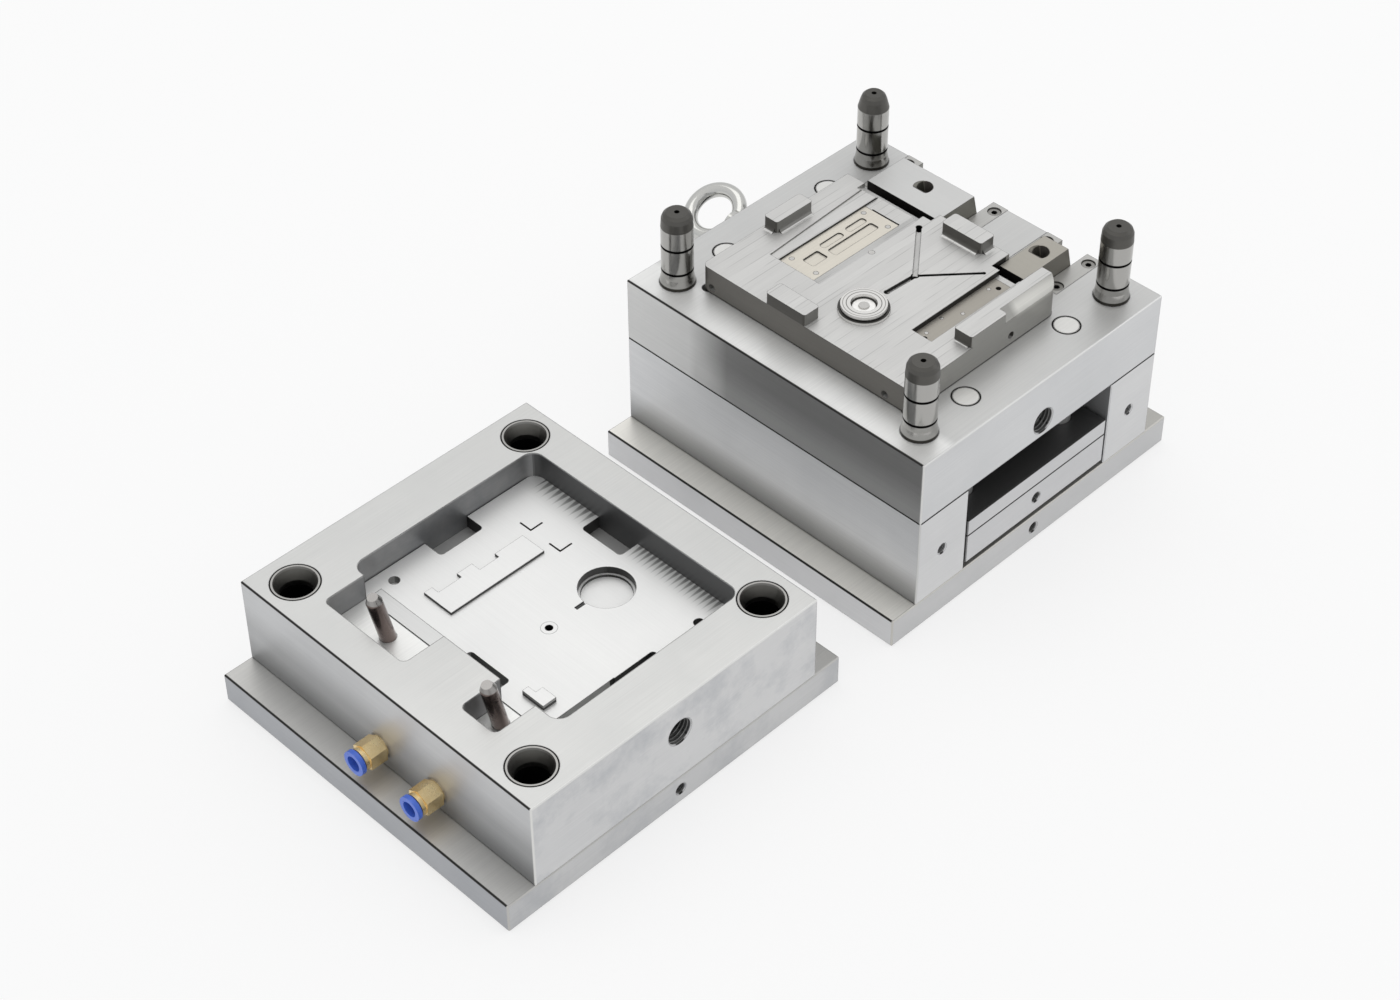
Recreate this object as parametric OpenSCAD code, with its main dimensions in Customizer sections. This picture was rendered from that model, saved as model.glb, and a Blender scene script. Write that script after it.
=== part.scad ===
// Prototype injection mould, opened and laid out as two halves.
// The core half stands with its machine axis on the Z axis.
// The cavity half lies beside it towards -X, with its parting face up.
// Millimetres, +Z up. Closing the mould maps core x to minus cavity x.

/* [Mould base] */
// Size of both mould halves along X, without the clamp flanges
base_w = 270; // [266:1:300]
// Size of both mould halves along Y
base_l = 300; // [292:1:340]
// Thickness of the two clamp plates
clamp_t = 25; // [22:1:30]
// Width of each clamp flange beyond the mould base
clamp_over = 25; // [20:1:35]
// Height of the two spacer blocks
spacer_h = 80; // [74:1:110]
// Width of each spacer block
spacer_w = 53; // [46:1:54]
// Thickness of the core plate
core_plate_t = 56; // [52:1:66]
// Thickness of the cavity plate
cavity_plate_t = 75; // [72:1:90]
// Free distance between the two clamp plates
halves_gap = 52.5; // [30:0.5:80]
// Offset of the cavity half along Y
cavity_y = 4; // [-10:0.5:10]
// Distance of the machine axis in front of the middle of the halves
axis_off = 20; // [17:0.5:23]

/* [Guiding] */
// Diameter of the guide pin shafts
pin_d = 25; // [20:0.5:26]
// Height of the guide pins above the core plate
pin_rise = 65; // [50:1:68]
// Distance of the guide pins from the -X and +X sides of the base
pin_in = 26.5; // [24:0.5:27.5]
// Distance of the guide pins from the middle along Y
pin_y = 122; // [121:0.5:125]
// Outer diameter of the guide bushes
bush_d = 35; // [33:0.5:36]
// Diameter of the return pins
return_d = 20; // [14:0.5:20]
// Distance of the return pins from the sides of the ejector plates
return_in = 23; // [20:0.5:26]
// Distance of the return pins from the middle along Y
return_y = 121; // [119:0.5:125]

/* [Core insert] */
// Height of the core insert above the core plate
block_rise = 22.5; // [20:0.5:24]
// Depth of the insert pocket in the core plate
core_pocket = 33; // [31:0.5:35]
// Distance of the core insert from the -X side of the base
insert_in = 33.5; // [33:0.5:37]
// Edge of the core insert towards -Y
insert_front = 105.5; // [104:0.5:106]
// Edge of the core insert towards +Y
insert_rear = 103; // [101:0.5:104]
// Height of the four interlock bosses
boss_h = 10; // [7:0.5:10]
// Length of each interlock boss
boss_l = 39.5; // [34:0.5:40]
// Width of each interlock boss
boss_w = 16; // [12:0.5:17]
// Depth of the panel recess at its insert
panel_depth = 2.5; // [2:0.25:4]
// Diameter of the foot of the round core
round_d = 39; // [36:0.5:40]
// Height of the round core above the core insert
round_rise = 6; // [5:0.5:7]
// Width of the runner channels
runner_w = 4; // [3:0.25:5]
// Depth of the runner channels
runner_depth = 3; // [2:0.25:4]

/* [Slides] */
// Height of the slide tops above the core plate
slide_rise = 18; // [16:0.5:19]
// Depth of the slide ways in the core plate
way_depth = 30; // [28:0.5:30.5]
// Width of slide 1 along Y
slide_1_w = 73; // [70:0.5:73.5]
// Width of slide 2 along Y
slide_2_w = 23.8; // [22:0.2:24]
// Distance of the closed slide tops from the +X side of the base
slide_in = 33; // [32:0.5:35]
// Tilt of the angle pins from the vertical, in degrees
pin_tilt = 12; // [10:0.5:13]
// Tilt of the heel faces from the vertical, in degrees
heel_tilt = 14; // [13.5:0.5:15]
// Diameter of the angle pins
angle_d = 12; // [10:0.5:12]
// Width of each gib
gib_w = 14.8; // [14:0.1:15]

/* [Ejection] */
// Thickness of the ejector plate
ejector_t = 27; // [20:1:28]
// Thickness of the ejector retainer plate
retainer_t = 15; // [13:1:18]
// Height of the stop buttons under the ejector plate
stop_h = 5; // [4:0.5:8]
// Side clearance of the ejector plates from the spacer blocks
ejector_gap = 2; // [1:0.5:4]
// Diameter of the hole for the ejector rod of the machine
rod_hole_d = 40; // [30:1:50]

/* [Cavity insert] */
// Thickness of the cavity insert
cavity_insert_t = 35; // [31:1:36]
// Height of the raised pad over the panel recess
pad_h = 2; // [1:0.25:2]
// Diameter of the round recess
recess_d = 42; // [41:0.5:44]
// Depth of the round recess
recess_depth = 8; // [7.5:0.5:10]
// Diameter of the seat for the locating ring
ring_seat_d = 100; // [90:1:120]
// Diameter of the sprue bush shank
sprue_d = 12; // [10:0.5:16]

/* [Fittings] */
// Outer diameter of the hose in the push-in fittings
hose_d = 12; // [10:0.5:12]
// Distance between the two fittings along Y
fitting_pitch = 58; // [54:1:64]

/* [Hidden] */

$fn = 48;

// Cuts run past the faces they open by this much
eps = 1;
// Pieces that grow out of a face start this far inside it
root = 0.5;
// Radial clearance of fixed pieces in their seats
seat = 0.02;
// Clearance of pieces that slide in bores and ways
run = 0.05;
// Width added to bores that a pin or screw only passes
pass = 1;
// Depth of blind seats beyond the end of what stands in them
spare = 1;

// Levels of the core half
z_spacer = clamp_t;
z_core = z_spacer + spacer_h;
z_part = z_core + core_plate_t;
z_block = z_part + block_rise;
z_way = z_part - way_depth;
z_insert = z_part - core_pocket;
z_slide = z_part + slide_rise;
z_boss = z_block + boss_h;

// Levels of the cavity half
z_cavity = clamp_t;
z_face = z_cavity + cavity_plate_t;
z_floor = z_face - block_rise;
z_bed = z_floor - cavity_insert_t;
cavity_x = -(base_w + 2 * clamp_over + halves_gap);
sprue_y = -axis_off;

// Levels and half width of the ejector plates
z_ejector = z_spacer + stop_h;
z_retainer = z_ejector + ejector_t;
z_ejector_top = z_retainer + retainer_t;
ejector_half = base_w / 2 - spacer_w - ejector_gap;

// Places along X that follow the width of the base
pin_x = base_w / 2 - pin_in;
return_x = ejector_half - return_in;
insert_left = base_w / 2 - insert_in;
slide_back = base_w / 2 - slide_in;

// Broken edges of the plates and of the small inserts
edge_break = 0.7;

// Slides and their bays in the core insert
slide_1_y = 53.5;
slide_2_y = -65.2;
side_clear = 0.3;
slide_1_top_l = 42.6;
slide_2_top_l = 52.5;
bay_1_x = slide_back - slide_1_top_l;
bay_2_x = slide_back - slide_2_top_l;
bay_1_low = slide_1_y - slide_1_w / 2 - side_clear;
bay_2_low = slide_2_y - slide_2_w / 2 - 3;
bay_2_high = slide_2_y + slide_2_w / 2 + 0.5;
tongue_x = slide_back - 32.4;
nose_x = slide_back - 37.5;
closed_gap = 0.1;
lip_w = 9;
lip_y = [slide_1_y - 28.5, slide_1_y + 31.5];

// Travel of the slides, and their places with the mould open
grip = 40.5;
stroke = grip * tan(pin_tilt);
slide_top_x = slide_back + stroke;
heel_h = 29;
slide_foot_x = slide_top_x + heel_h * tan(heel_tilt);
bore_closed_x = slide_back - 16.7;
bore_1_y = slide_1_y;
bore_2_y = slide_2_y + 1.7;
bore_x = bore_closed_x + stroke;
bore_d = angle_d + pass;
bore_lip = 1.3;
gib_x = slide_back - 22;
ear_w = 4.5;
ear_h = 8;
ear_x = gib_x + stroke + 1;
gib_screw_off = gib_w / 2 + 1.1;
gib_screw_x = [gib_x + 8, base_w / 2 - 9];

// Stops behind the slides
stop_len = 10;
stop_w = 20;
slide_stop_h = 12;
stop_gap = 0.3;
slide_stop_x = slide_foot_x + stop_gap + stop_len / 2;

// Plan of the core insert
corner_r = 6;
nose_r = 10;
relief_r = 5;

// Cavities in the core insert
panel_left_in = 46.5;
panel_right_in = 19.4;
panel_x = [panel_left_in - insert_left, bay_1_x - panel_right_in];
panel_y = [32, 67];
panel_slope = 8;
panel_floor = z_block - panel_depth;
terrace_depth = 1;
terrace_y = [75, 82];
terrace_left = panel_x[0] - 2;
slit_w = 1.2;
slit_depth = 5;
slit_y = [0.5, 7];
bar_x = [panel_x[0] + 6, bay_2_x - 5.5];
bar_in = 26;
bar_w = 19;
bar_y = [bar_in - insert_front, bar_in + bar_w - insert_front];
bar_floor = z_slide;
small_insert_h = 31;
z_small = z_block - small_insert_h;
round_in = 45.5;
round_at = [round_in - insert_left, -19.5];
rim_h = 2.5;
groove_h = 1;
disc_in = 1.9;
hub_d = 20;
hub_depth = 3;
runner_ends = [[tongue_x - 22.9, 17.6], [bay_2_x - 11, -54.4], [round_at[0] + 26.8, -18.1]];
thin_runner_w = 2.4;
well_over = 0.6;
gate_d = 5;
gate_depth = 9;

// Shallow cuts in the panel: start and end as shares of its length and width, depth, radius
panel_cuts = [[0.36, 0.87, 0.26, 0.51, 1, 2], [0.13, 0.3, 0.34, 0.66, 1.2, 1.5],
              [0.36, 0.6, 0.6, 0.77, 0.8, 2.5], [0.66, 0.87, 0.6, 0.77, 0.8, 2.5]];

// Blind pin holes in the bar insert
bar_holes = [[bar_x[0] + 3.5, bar_y[0] + 9.5], [bar_x[1] - 7.3, bar_y[0] + 8.9]];
bar_hole_d = 4;
bar_hole_depth = 3;

// Bosses of the core insert
boss_r = 2.5;
left_boss_y = [-2.5, -2.5 + boss_l];
rear_boss_x = [-35, -35 + boss_l];
rear_boss_y = insert_rear - boss_w + 2;
right_boss_y = [1.5 - boss_l, 1.5];
front_boss_x = rear_boss_x;
front_boss_y = -insert_front + boss_w + 1.5;
cove_r = 4;
small_cove_r = 2;
shoulder_in = 7.5;
shoulder_drop = boss_h - 1.8;
shoulder_foot_y = front_boss_y + 0.6;

// Pins of the ejector system: places and diameters
panel_pins = [for (x = [panel_x[0] + 8, panel_x[1] - 7], y = [panel_y[0] + 5, panel_y[1] - 5]) [x, y]];
panel_pin_d = 4;
bar_pins = [[bar_x[0] + 9, bar_y[0] + 12.5], [-19.4, bar_y[0] + 15.9], [-4.4, bar_y[0] + 8.3],
            [bar_x[1] - 13, bar_y[0] + 13.5]];
bar_pin_d = 3;
round_pin_d = 8;
web_pin = [-1.6, 22.4];
web_pin_d = 5;
puller_d = 6;
slug_depth = 5;
pin_head_over = 2;
pin_head_h = 6;

// Screws: diameter, head diameter, head height
m14 = [14, 21, 14];
m10 = [10, 16, 10];
m8 = [8, 13, 8];
m6 = [6, 10, 6];
socket_part = 0.86;
m14_grip = 19;
m10_grip = 18;
m6_grip = 10;
plate_screw_x = (base_w - spacer_w) / 2;
cavity_screw_x = base_w / 2 - 17;
plate_screw_y = 85;
core_screws = [[16.5 - insert_left, 85], [16.5 - insert_left, -85], [bay_2_x - 9.5, 88], [bay_2_x - 9.5, -90]];
ejector_screw_x = ejector_half - 12;
ejector_screw_y = 98;

// Stop buttons
button_d = 18;
button_shank_d = 8;
button_shank = 12;

// Holes in the sides of the plates and of the core insert
lift_d = 20.8;
lift_depth = 30;
lift_z = z_core + 15;
cavity_lift_rise = 45;
cavity_lift_z = z_cavity + cavity_lift_rise;
small_hole_d = 8.5;
small_hole_depth = 20;
spacer_hole_z = z_spacer + 39;
chamfer = 0.8;
hand_hole_d = 6;
hand_hole_depth = 12;
left_holes_y = [-82, 92.7];
left_holes_z = z_part + 5.5;
front_hole_x = 10.6;
front_hole_z = z_part + 8.5;
return_chamfer = 1.1;

// Guide pins
seat_more = 3;
head_more = 8;
guide_head_h = 8;
flare_h = 8;
cap_h = 12.5;
oil_groove_w = 1.8;
oil_groove_depth = 0.9;
oil_groove_drops = [29, 51];
tip_hole_d = 4;
tip_hole_depth = 6;

// Eye bolt
eye_thread_d = 12;
eye_z = z_core + 26;
eye_depth = 18;
eye_stand = 14;
eye_neck_d = 22;
eye_neck_h = 7;
eye_ring_y = 26;
eye_outer_d = 54;
eye_bar_d = 12;
eye_turn = 30;

// Angle pins: where the axis crosses the floor of the cavity half
angle_x = -(bore_closed_x - (block_rise - slide_rise) * tan(pin_tilt));
angle_rise = (block_rise + grip - slide_rise) / cos(pin_tilt);
angle_down = (z_floor - z_cavity) / cos(pin_tilt);
angle_head_d = 18;
angle_head_h = 10;
angle_tip_h = 5;
angle_tip_d = angle_d - 4;
angle_pin_y = [bore_1_y, bore_2_y];

// Pockets of the cavity plate
main_x = [-tongue_x - 0.7, insert_left + 1];
main_y = [-insert_front - 1.25, insert_rear + 3.75];
main_r = 10;
heel_x = slide_back + slide_rise * tan(heel_tilt) + closed_gap;
heel_1_y = [8.5, slide_1_y + slide_1_w / 2 + 3.3];
heel_2_y = [slide_2_y - slide_2_w / 2 - 6.9, slide_2_y + slide_2_w / 2 + 4.3];
heel_r = 5;

// Cavity insert
notch_gap = 0.5;
notch_r = 3;
side_bar_x = main_x[0] + 13.3;
side_bar_y = [8, 93];
side_bar_h = 20;
pad_left = 0.5 - panel_x[1];
pad_right = -panel_x[0] - 6;
pad_front = 38;
pad_steps = [[61.5, 23], [61.5, 18.5], [43.2, 18.5], [43.2, 27], [29, 27], [29, 22], [7.4, 22], [7.4, 29], [0, 29]];
step_wide_x = [-bay_2_x - 6.5, -bay_2_x - 1];
step_wide_y = [bar_y[0] + 4.5, bar_y[0] + 25.5];
step_long_x = [-bay_2_x - 6.5, -bar_x[1]];
step_long_y = [bar_y[0] + 4.5, bar_y[1] - 1];
step_h = block_rise - slide_rise - 0.5;
round_step = 2;
cavity_screw_in = [20.3, 14.5];
cavity_screw_y = [98, 92];
cavity_screws = [for (s = [1, -1]) each [[main_x[0] + cavity_screw_in[0], s * cavity_screw_y[0]],
                                         [main_x[1] - cavity_screw_in[1], s * cavity_screw_y[1]]]];
blind_in = 25.3;
blind_y = [93, -91];
blind_at = [[main_x[0] + blind_in, blind_y[0]], [main_x[1] - blind_in, blind_y[1]]];
blind_depth = 6;
blind_d = 8.3;
mark_w = 1.2;
mark_depth = 1.5;
mark_len = 12;
mark_y = [61.7, 30.5];
marks_at = [for (y = mark_y) [2.5 - panel_x[0], y]];
gate_groove_w = 3;
gate_groove_x = [-round_at[0] - 30, -round_at[0] - 20];

// Sprue bush and its seat
ring_seat_h = 5;
sprue_head_d = 36;
sprue_head_h = 14;
nozzle_r = 12;
nozzle_depth = 4;
sprue_inlet = 3.5;
sprue_outlet = 6;

// Guide bushes
bush_collar = 5;
bush_collar_h = 8;
bush_mouth_h = 10;
bush_wall = 1.5;
bush_lip = 1;

// Push-in fittings
fitting_y = -23;
fitting_z = z_cavity + 17;
fitting_thread_d = 13.2;
fitting_thread_l = 11;
fitting_hex = 19;
fitting_hex_h = 14;
fitting_len = 19;
fitting_wall = 1.7;
hose_clear = 0.1;
cooling_d = 8;
cooling_depth = 45;
sleeve_wall = 1;
sleeve_h = 7;
ring_gap = 1.2;
ring_t = 3.6;
ring_over = 1;
sleeve_d = hose_d + 2 * sleeve_wall;
sleeve_bore_d = sleeve_d + 2 * run;
fitting_d = sleeve_bore_d + 2 * fitting_wall;
z_sleeve = fitting_len - sleeve_h;

// Block given by its limits along the three axes
module block(x, y, z) {
    translate([x[0], y[0], z[0]])
        cube([x[1] - x[0], y[1] - y[0], z[1] - z[0]]);
}

// Corners of a rectangle with broken corners
function broken(a, b) = let(c = edge_break)
    [[a[0] + c, b[0]], [a[1] - c, b[0]], [a[1], b[0] + c], [a[1], b[1] - c],
     [a[1] - c, b[1]], [a[0] + c, b[1]], [a[0], b[1] - c], [a[0], b[0] + c]];

// Plate with all its edges broken
module plate(x, y, z) {
    intersection() {
        profile_x(x[0], x[1], broken(y, z));
        profile_y(y[0], y[1], broken(x, z));
        translate([0, 0, z[0]]) linear_extrude(z[1] - z[0]) polygon(broken(x, y));
    }
}

// Bars that break a straight edge along X or along Y
module break_x(x, y, z) {
    c = edge_break;
    profile_x(x[0], x[1], [[y - c, z], [y, z - c], [y + c, z], [y, z + c]]);
}

module break_y(x, y, z) {
    c = edge_break;
    profile_y(y[0], y[1], [[x - c, z], [x, z - c], [x + c, z], [x, z + c]]);
}

// Plan rectangle with round corners, given by its limits
module round_rect(x, y, r) {
    translate([x[0] + r, y[0]]) square([x[1] - x[0] - 2 * r, y[1] - y[0]]);
    translate([x[0], y[0] + r]) square([x[1] - x[0], y[1] - y[0] - 2 * r]);
    for (px = [x[0] + r, x[1] - r], py = [y[0] + r, y[1] - r])
        translate([px, py]) circle(r);
}

// Upright prism with round corners
module round_block(x, y, z, r) {
    translate([0, 0, z[0]]) linear_extrude(z[1] - z[0]) round_rect(x, y, r);
}

// Prism along X over an outline drawn in Y and Z
module profile_x(x0, x1, points) {
    translate([x0, 0, 0]) rotate([90, 0, 90]) linear_extrude(x1 - x0) polygon(points);
}

// Prism along Y over an outline drawn in X and Z
module profile_y(y0, y1, points) {
    translate([0, y1, 0]) rotate([90, 0, 0]) linear_extrude(y1 - y0) polygon(points);
}

// Upright rod or hole between two levels
module rod(d, z0, z1) {
    translate([0, 0, z0]) cylinder(d = d, h = z1 - z0);
}

// Upright cone between two levels
module cone(d0, d1, z0, z1) {
    translate([0, 0, z0]) cylinder(d1 = d0, d2 = d1, h = z1 - z0);
}

// The four corners of a rectangle around the middle
module corners(x, y) {
    for (sx = [-1, 1], sy = [-1, 1]) translate([sx * x, sy * y, 0]) children();
}

// Copies at a list of plan positions
module at(list) {
    for (p = list) translate([p[0], p[1], 0]) children();
}

// Moves the middle of the core half off the machine axis
module in_core_half() {
    translate([0, axis_off, 0]) children();
}

// Places the cavity half beside the core half
module in_cavity_half() {
    translate([cavity_x, cavity_y + axis_off, 0]) children();
}

// Blind hole in a -Y or +Y face of the plates, with a chamfered mouth
module side_hole(x, z, d, depth, side) {
    translate([x, side * base_l / 2, z]) rotate([side * 90, 0, 0]) {
        translate([0, 0, -eps]) cylinder(d = d, h = depth + eps);
        translate([0, 0, -eps]) cylinder(d1 = d + 2 * (chamfer + eps), d2 = d, h = chamfer + eps);
    }
}

// Socket head screw with its head below and its shank upwards
module screw(s, z_head, z_end) {
    difference() {
        union() {
            rod(s[1], z_head, z_head + s[2]);
            rod(s[0], z_head + s[2] - root, z_end);
        }
        translate([0, 0, z_head - eps]) cylinder(d = s[0] * socket_part, h = s[2] / 2 + eps, $fn = 6);
    }
}

// Counterbored passage for such a screw, open below
module screw_passage(s, z0, z_seat, z1) {
    rod(s[1] + pass, z0 - eps, z_seat);
    rod(s[0] + pass, z_seat - eps, z1 + eps);
}

// Clamp plate with its flanges towards -X and +X
module clamp_plate() {
    plate([-base_w / 2 - clamp_over, base_w / 2 + clamp_over], [-base_l / 2, base_l / 2], [0, clamp_t]);
}

// Where the stop buttons stand
module button_places() {
    for (sx = [-1, 1], y = [-return_y, 0, return_y]) translate([sx * return_x, y, 0]) children();
}

// Clamp plate of the core half
module core_clamp_plate() {
    color("silver") in_core_half() difference() {
        clamp_plate();
        at([[0, sprue_y]]) rod(rod_hole_d, -eps, clamp_t + eps);
        corners(plate_screw_x, plate_screw_y) screw_passage(m14, 0, m14[2] + spare, clamp_t);
        button_places() rod(button_shank_d + 2 * seat, clamp_t - button_shank - spare, clamp_t + eps);
        side_hole(0, clamp_t / 2, small_hole_d, small_hole_depth, -1);
    }
}

// Spacer block on one side of the ejector plates
module spacer_block(side) {
    mid = side * (base_w - spacer_w) / 2;
    color("gainsboro") in_core_half() difference() {
        plate([mid - spacer_w / 2, mid + spacer_w / 2], [-base_l / 2, base_l / 2], [z_spacer, z_core]);
        at([[side * plate_screw_x, plate_screw_y], [side * plate_screw_x, -plate_screw_y]])
            rod(m14[0] + pass, z_spacer - eps, z_core + eps);
        side_hole(mid, spacer_hole_z, small_hole_d, small_hole_depth, -1);
    }
}

module spacer_block_left() { spacer_block(-1); }
module spacer_block_right() { spacer_block(1); }

// Plan of the core insert, grown all round by g
module insert_plan(g) {
    left = -insert_left - g;
    front = -insert_front - g;
    rear = insert_rear + g;
    difference() {
        union() {
            round_rect([left, 0], [front, rear], corner_r);
            translate([-2 * corner_r, front]) square([2 * corner_r + 2 * nose_r, rear - front]);
            translate([0, bay_2_high]) square([bay_1_x + g, rear - bay_2_high]);
            translate([0, bay_2_high - g]) square([tongue_x + g, bay_1_low - bay_2_high + 2 * g]);
            round_rect([0, nose_x + g], [front, bay_2_low + nose_r], nose_r);
            translate([0, front + nose_r]) square([nose_x + g, bay_2_high - front - nose_r - g]);
        }
        translate([bay_2_x + g, bay_2_low + g]) square([base_w, bay_2_high - bay_2_low - 2 * g]);
    }
}

// Round reliefs in the corners of the insert pocket
module pocket_reliefs() {
    in = relief_r * 0.7;
    at([[-insert_left + in, -insert_front + in], [-insert_left + in, insert_rear - in],
        [bay_1_x - in, insert_rear - in]])
        rod(2 * relief_r, z_insert, z_part + eps);
}

// Way of one slide: the narrow part at its nose and the wide part of its gibs
module slide_way(y, w, face) {
    half = w / 2 + side_clear;
    block([face, base_w / 2 + eps], [y - half, y + half], [z_way, z_part + eps]);
    block([gib_x, base_w / 2 + eps], [y - half - gib_w, y + half + gib_w], [z_way, z_part + eps]);
}

// Where the gib screws stand
module gib_screw_places() {
    for (x = gib_screw_x, s = [-1, 1]) {
        translate([x, slide_1_y + s * (slide_1_w / 2 + side_clear + gib_screw_off), 0]) children();
        translate([x, slide_2_y + s * (slide_2_w / 2 + side_clear + gib_screw_off), 0]) children();
    }
}

// Where the slide stops stand
module slide_stop_places() {
    at([[slide_stop_x, slide_1_y], [slide_stop_x, slide_2_y]]) children();
}

// Wide passages for the ejector pins of the small inserts
module small_pin_passages(z0, z1) {
    at(panel_pins) rod(panel_pin_d + pass, z0, z1);
    at(bar_pins) rod(bar_pin_d + pass, z0, z1);
    at([round_at]) rod(round_pin_d + pass, z0, z1);
}

// Core plate with the insert pocket, the slide ways and all bores
module core_plate() {
    color("gainsboro") in_core_half() difference() {
        plate([-base_w / 2, base_w / 2], [-base_l / 2, base_l / 2], [z_core, z_part]);
        translate([0, 0, z_insert]) linear_extrude(core_pocket + eps) insert_plan(seat);
        pocket_reliefs();
        slide_way(slide_1_y, slide_1_w, bay_1_x);
        slide_way(slide_2_y, slide_2_w, bay_2_x);
        corners(pin_x, pin_y) {
            rod(pin_d + head_more + pass, z_core - eps, z_core + guide_head_h);
            rod(pin_d + seat_more + 2 * seat, z_core, z_part + eps);
        }
        corners(return_x, return_y) {
            rod(return_d + 2 * run, z_core - eps, z_part + eps);
            cone(return_d, return_d + 2 * (return_chamfer + eps), z_part - return_chamfer, z_part + eps);
        }
        corners(plate_screw_x, plate_screw_y) rod(m14[0] + 2 * seat, z_core - eps, z_core + m14_grip);
        at(core_screws) screw_passage(m10, z_core, z_core + m10[2] + spare, z_insert);
        small_pin_passages(z_core - eps, z_insert + eps);
        at([web_pin]) rod(web_pin_d + pass, z_core - eps, z_insert + eps);
        at([[0, sprue_y]]) rod(puller_d + pass, z_core - eps, z_insert + eps);
        slide_stop_places() rod(m6[0] + 2 * seat, z_way - m6_grip - spare, z_way + eps);
        gib_screw_places() rod(m6[0] + 2 * seat, z_way - m6_grip - spare, z_way + eps);
        side_hole(0, lift_z, lift_d, lift_depth, -1);
        side_hole(0, eye_z, eye_thread_d + 2 * seat, eye_depth + spare, 1);
    }
}

// Interlock boss with round upright edges
module boss(x, y) {
    round_block(x, y, [z_block - root, z_boss], boss_r);
}

// Cove at the foot of a wall that faces -Y
module cove_y(x, y, r) {
    difference() {
        block(x, [y - r, y + root], [z_block - root, z_block + r]);
        translate([x[0] - eps, y - r, z_block + r]) rotate([0, 90, 0])
            cylinder(r = r, h = x[1] - x[0] + 2 * eps);
    }
}

// Cove at the foot of a wall that faces -X
module cove_x(x, y, r) {
    difference() {
        block([x - r, x + root], y, [z_block - root, z_block + r]);
        translate([x - r, y[0] - eps, z_block + r]) rotate([-90, 0, 0])
            cylinder(r = r, h = y[1] - y[0] + 2 * eps);
    }
}

// Shoulder that carries on the front boss towards slide 2
module shoulder() {
    intersection() {
        profile_x(front_boss_x[1] - 2 * boss_r, nose_x,
                  [[-insert_front, z_block - root], [-insert_front, z_boss - shoulder_drop],
                   [-insert_front + shoulder_in, z_boss], [front_boss_y, z_boss],
                   [shoulder_foot_y, z_block], [shoulder_foot_y, z_block - root]]);
        translate([0, 0, z_insert]) linear_extrude(z_boss - z_insert + eps) insert_plan(0);
    }
}

// The four bosses with their coves, and the shoulder
module bosses() {
    boss([-insert_left, -insert_left + boss_w], left_boss_y);
    boss(rear_boss_x, [rear_boss_y, insert_rear]);
    boss([tongue_x - boss_w, tongue_x], right_boss_y);
    boss(front_boss_x, [-insert_front, front_boss_y]);
    cove_x(tongue_x - boss_w, right_boss_y + [boss_r, -boss_r], cove_r);
    cove_y([tongue_x - boss_w + boss_r, tongue_x - boss_r], right_boss_y[0], cove_r);
    cove_x(rear_boss_x[0], [rear_boss_y + boss_r, insert_rear - boss_r], cove_r);
    cove_y(rear_boss_x + [boss_r, -boss_r], rear_boss_y, cove_r);
    cove_x(front_boss_x[0], [-insert_front + boss_r, front_boss_y - boss_r], small_cove_r);
    shoulder();
}

// Panel recess with a sloping front, the terrace behind it and a shut-off slit
module panel_recess() {
    reach = panel_slope * (panel_depth + eps) / panel_depth;
    profile_x(terrace_left, bay_1_x + eps,
              [[panel_y[0] - reach, z_block + eps], [panel_y[0], panel_floor],
               [panel_y[1], panel_floor], [panel_y[1], z_block + eps]]);
    translate([0, 0, z_block - terrace_depth]) linear_extrude(terrace_depth + eps)
        polygon([[terrace_left, panel_y[1] - eps], [bay_1_x + eps, panel_y[1] - eps],
                 [bay_1_x + eps, terrace_y[1]], [terrace_left, terrace_y[0]]]);
    block([panel_x[1], panel_x[1] + slit_w], [panel_y[0] + slit_y[0], panel_y[1] - slit_y[1]],
          [panel_floor - slit_depth, z_block]);
}

// Slope that leads down to the top of slide 1
module lip_slope() {
    fall = (z_block - z_slide) / lip_w;
    profile_y(lip_y[0], lip_y[1],
              [[bay_1_x - lip_w - eps, z_block + eps * fall], [bay_1_x + eps, z_slide - eps * fall],
               [bay_1_x + eps, z_block + 2 * eps], [bay_1_x - lip_w - eps, z_block + 2 * eps]]);
}

// Runner channel with a flat bottom from the sprue to a point, and the well at its end
module runner(end, w) {
    dx = end[0];
    dy = end[1] - sprue_y;
    translate([0, sprue_y, z_block]) rotate([0, 0, atan2(dy, dx)])
        block([0, norm([dx, dy])], [-w / 2, w / 2], [-runner_depth, eps]);
    at([end]) rod(w + well_over, z_block - runner_depth - well_over, z_block + eps);
}

// Small holes in the -X and -Y sides of the core insert
module insert_side_holes() {
    for (y = left_holes_y) translate([-insert_left - eps, y, left_holes_z])
        rotate([0, 90, 0]) cylinder(d = hand_hole_d, h = hand_hole_depth);
    translate([front_hole_x, -insert_front - eps, front_hole_z]) rotate([-90, 0, 0])
        cylinder(d = hand_hole_d, h = hand_hole_depth);
}

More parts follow.
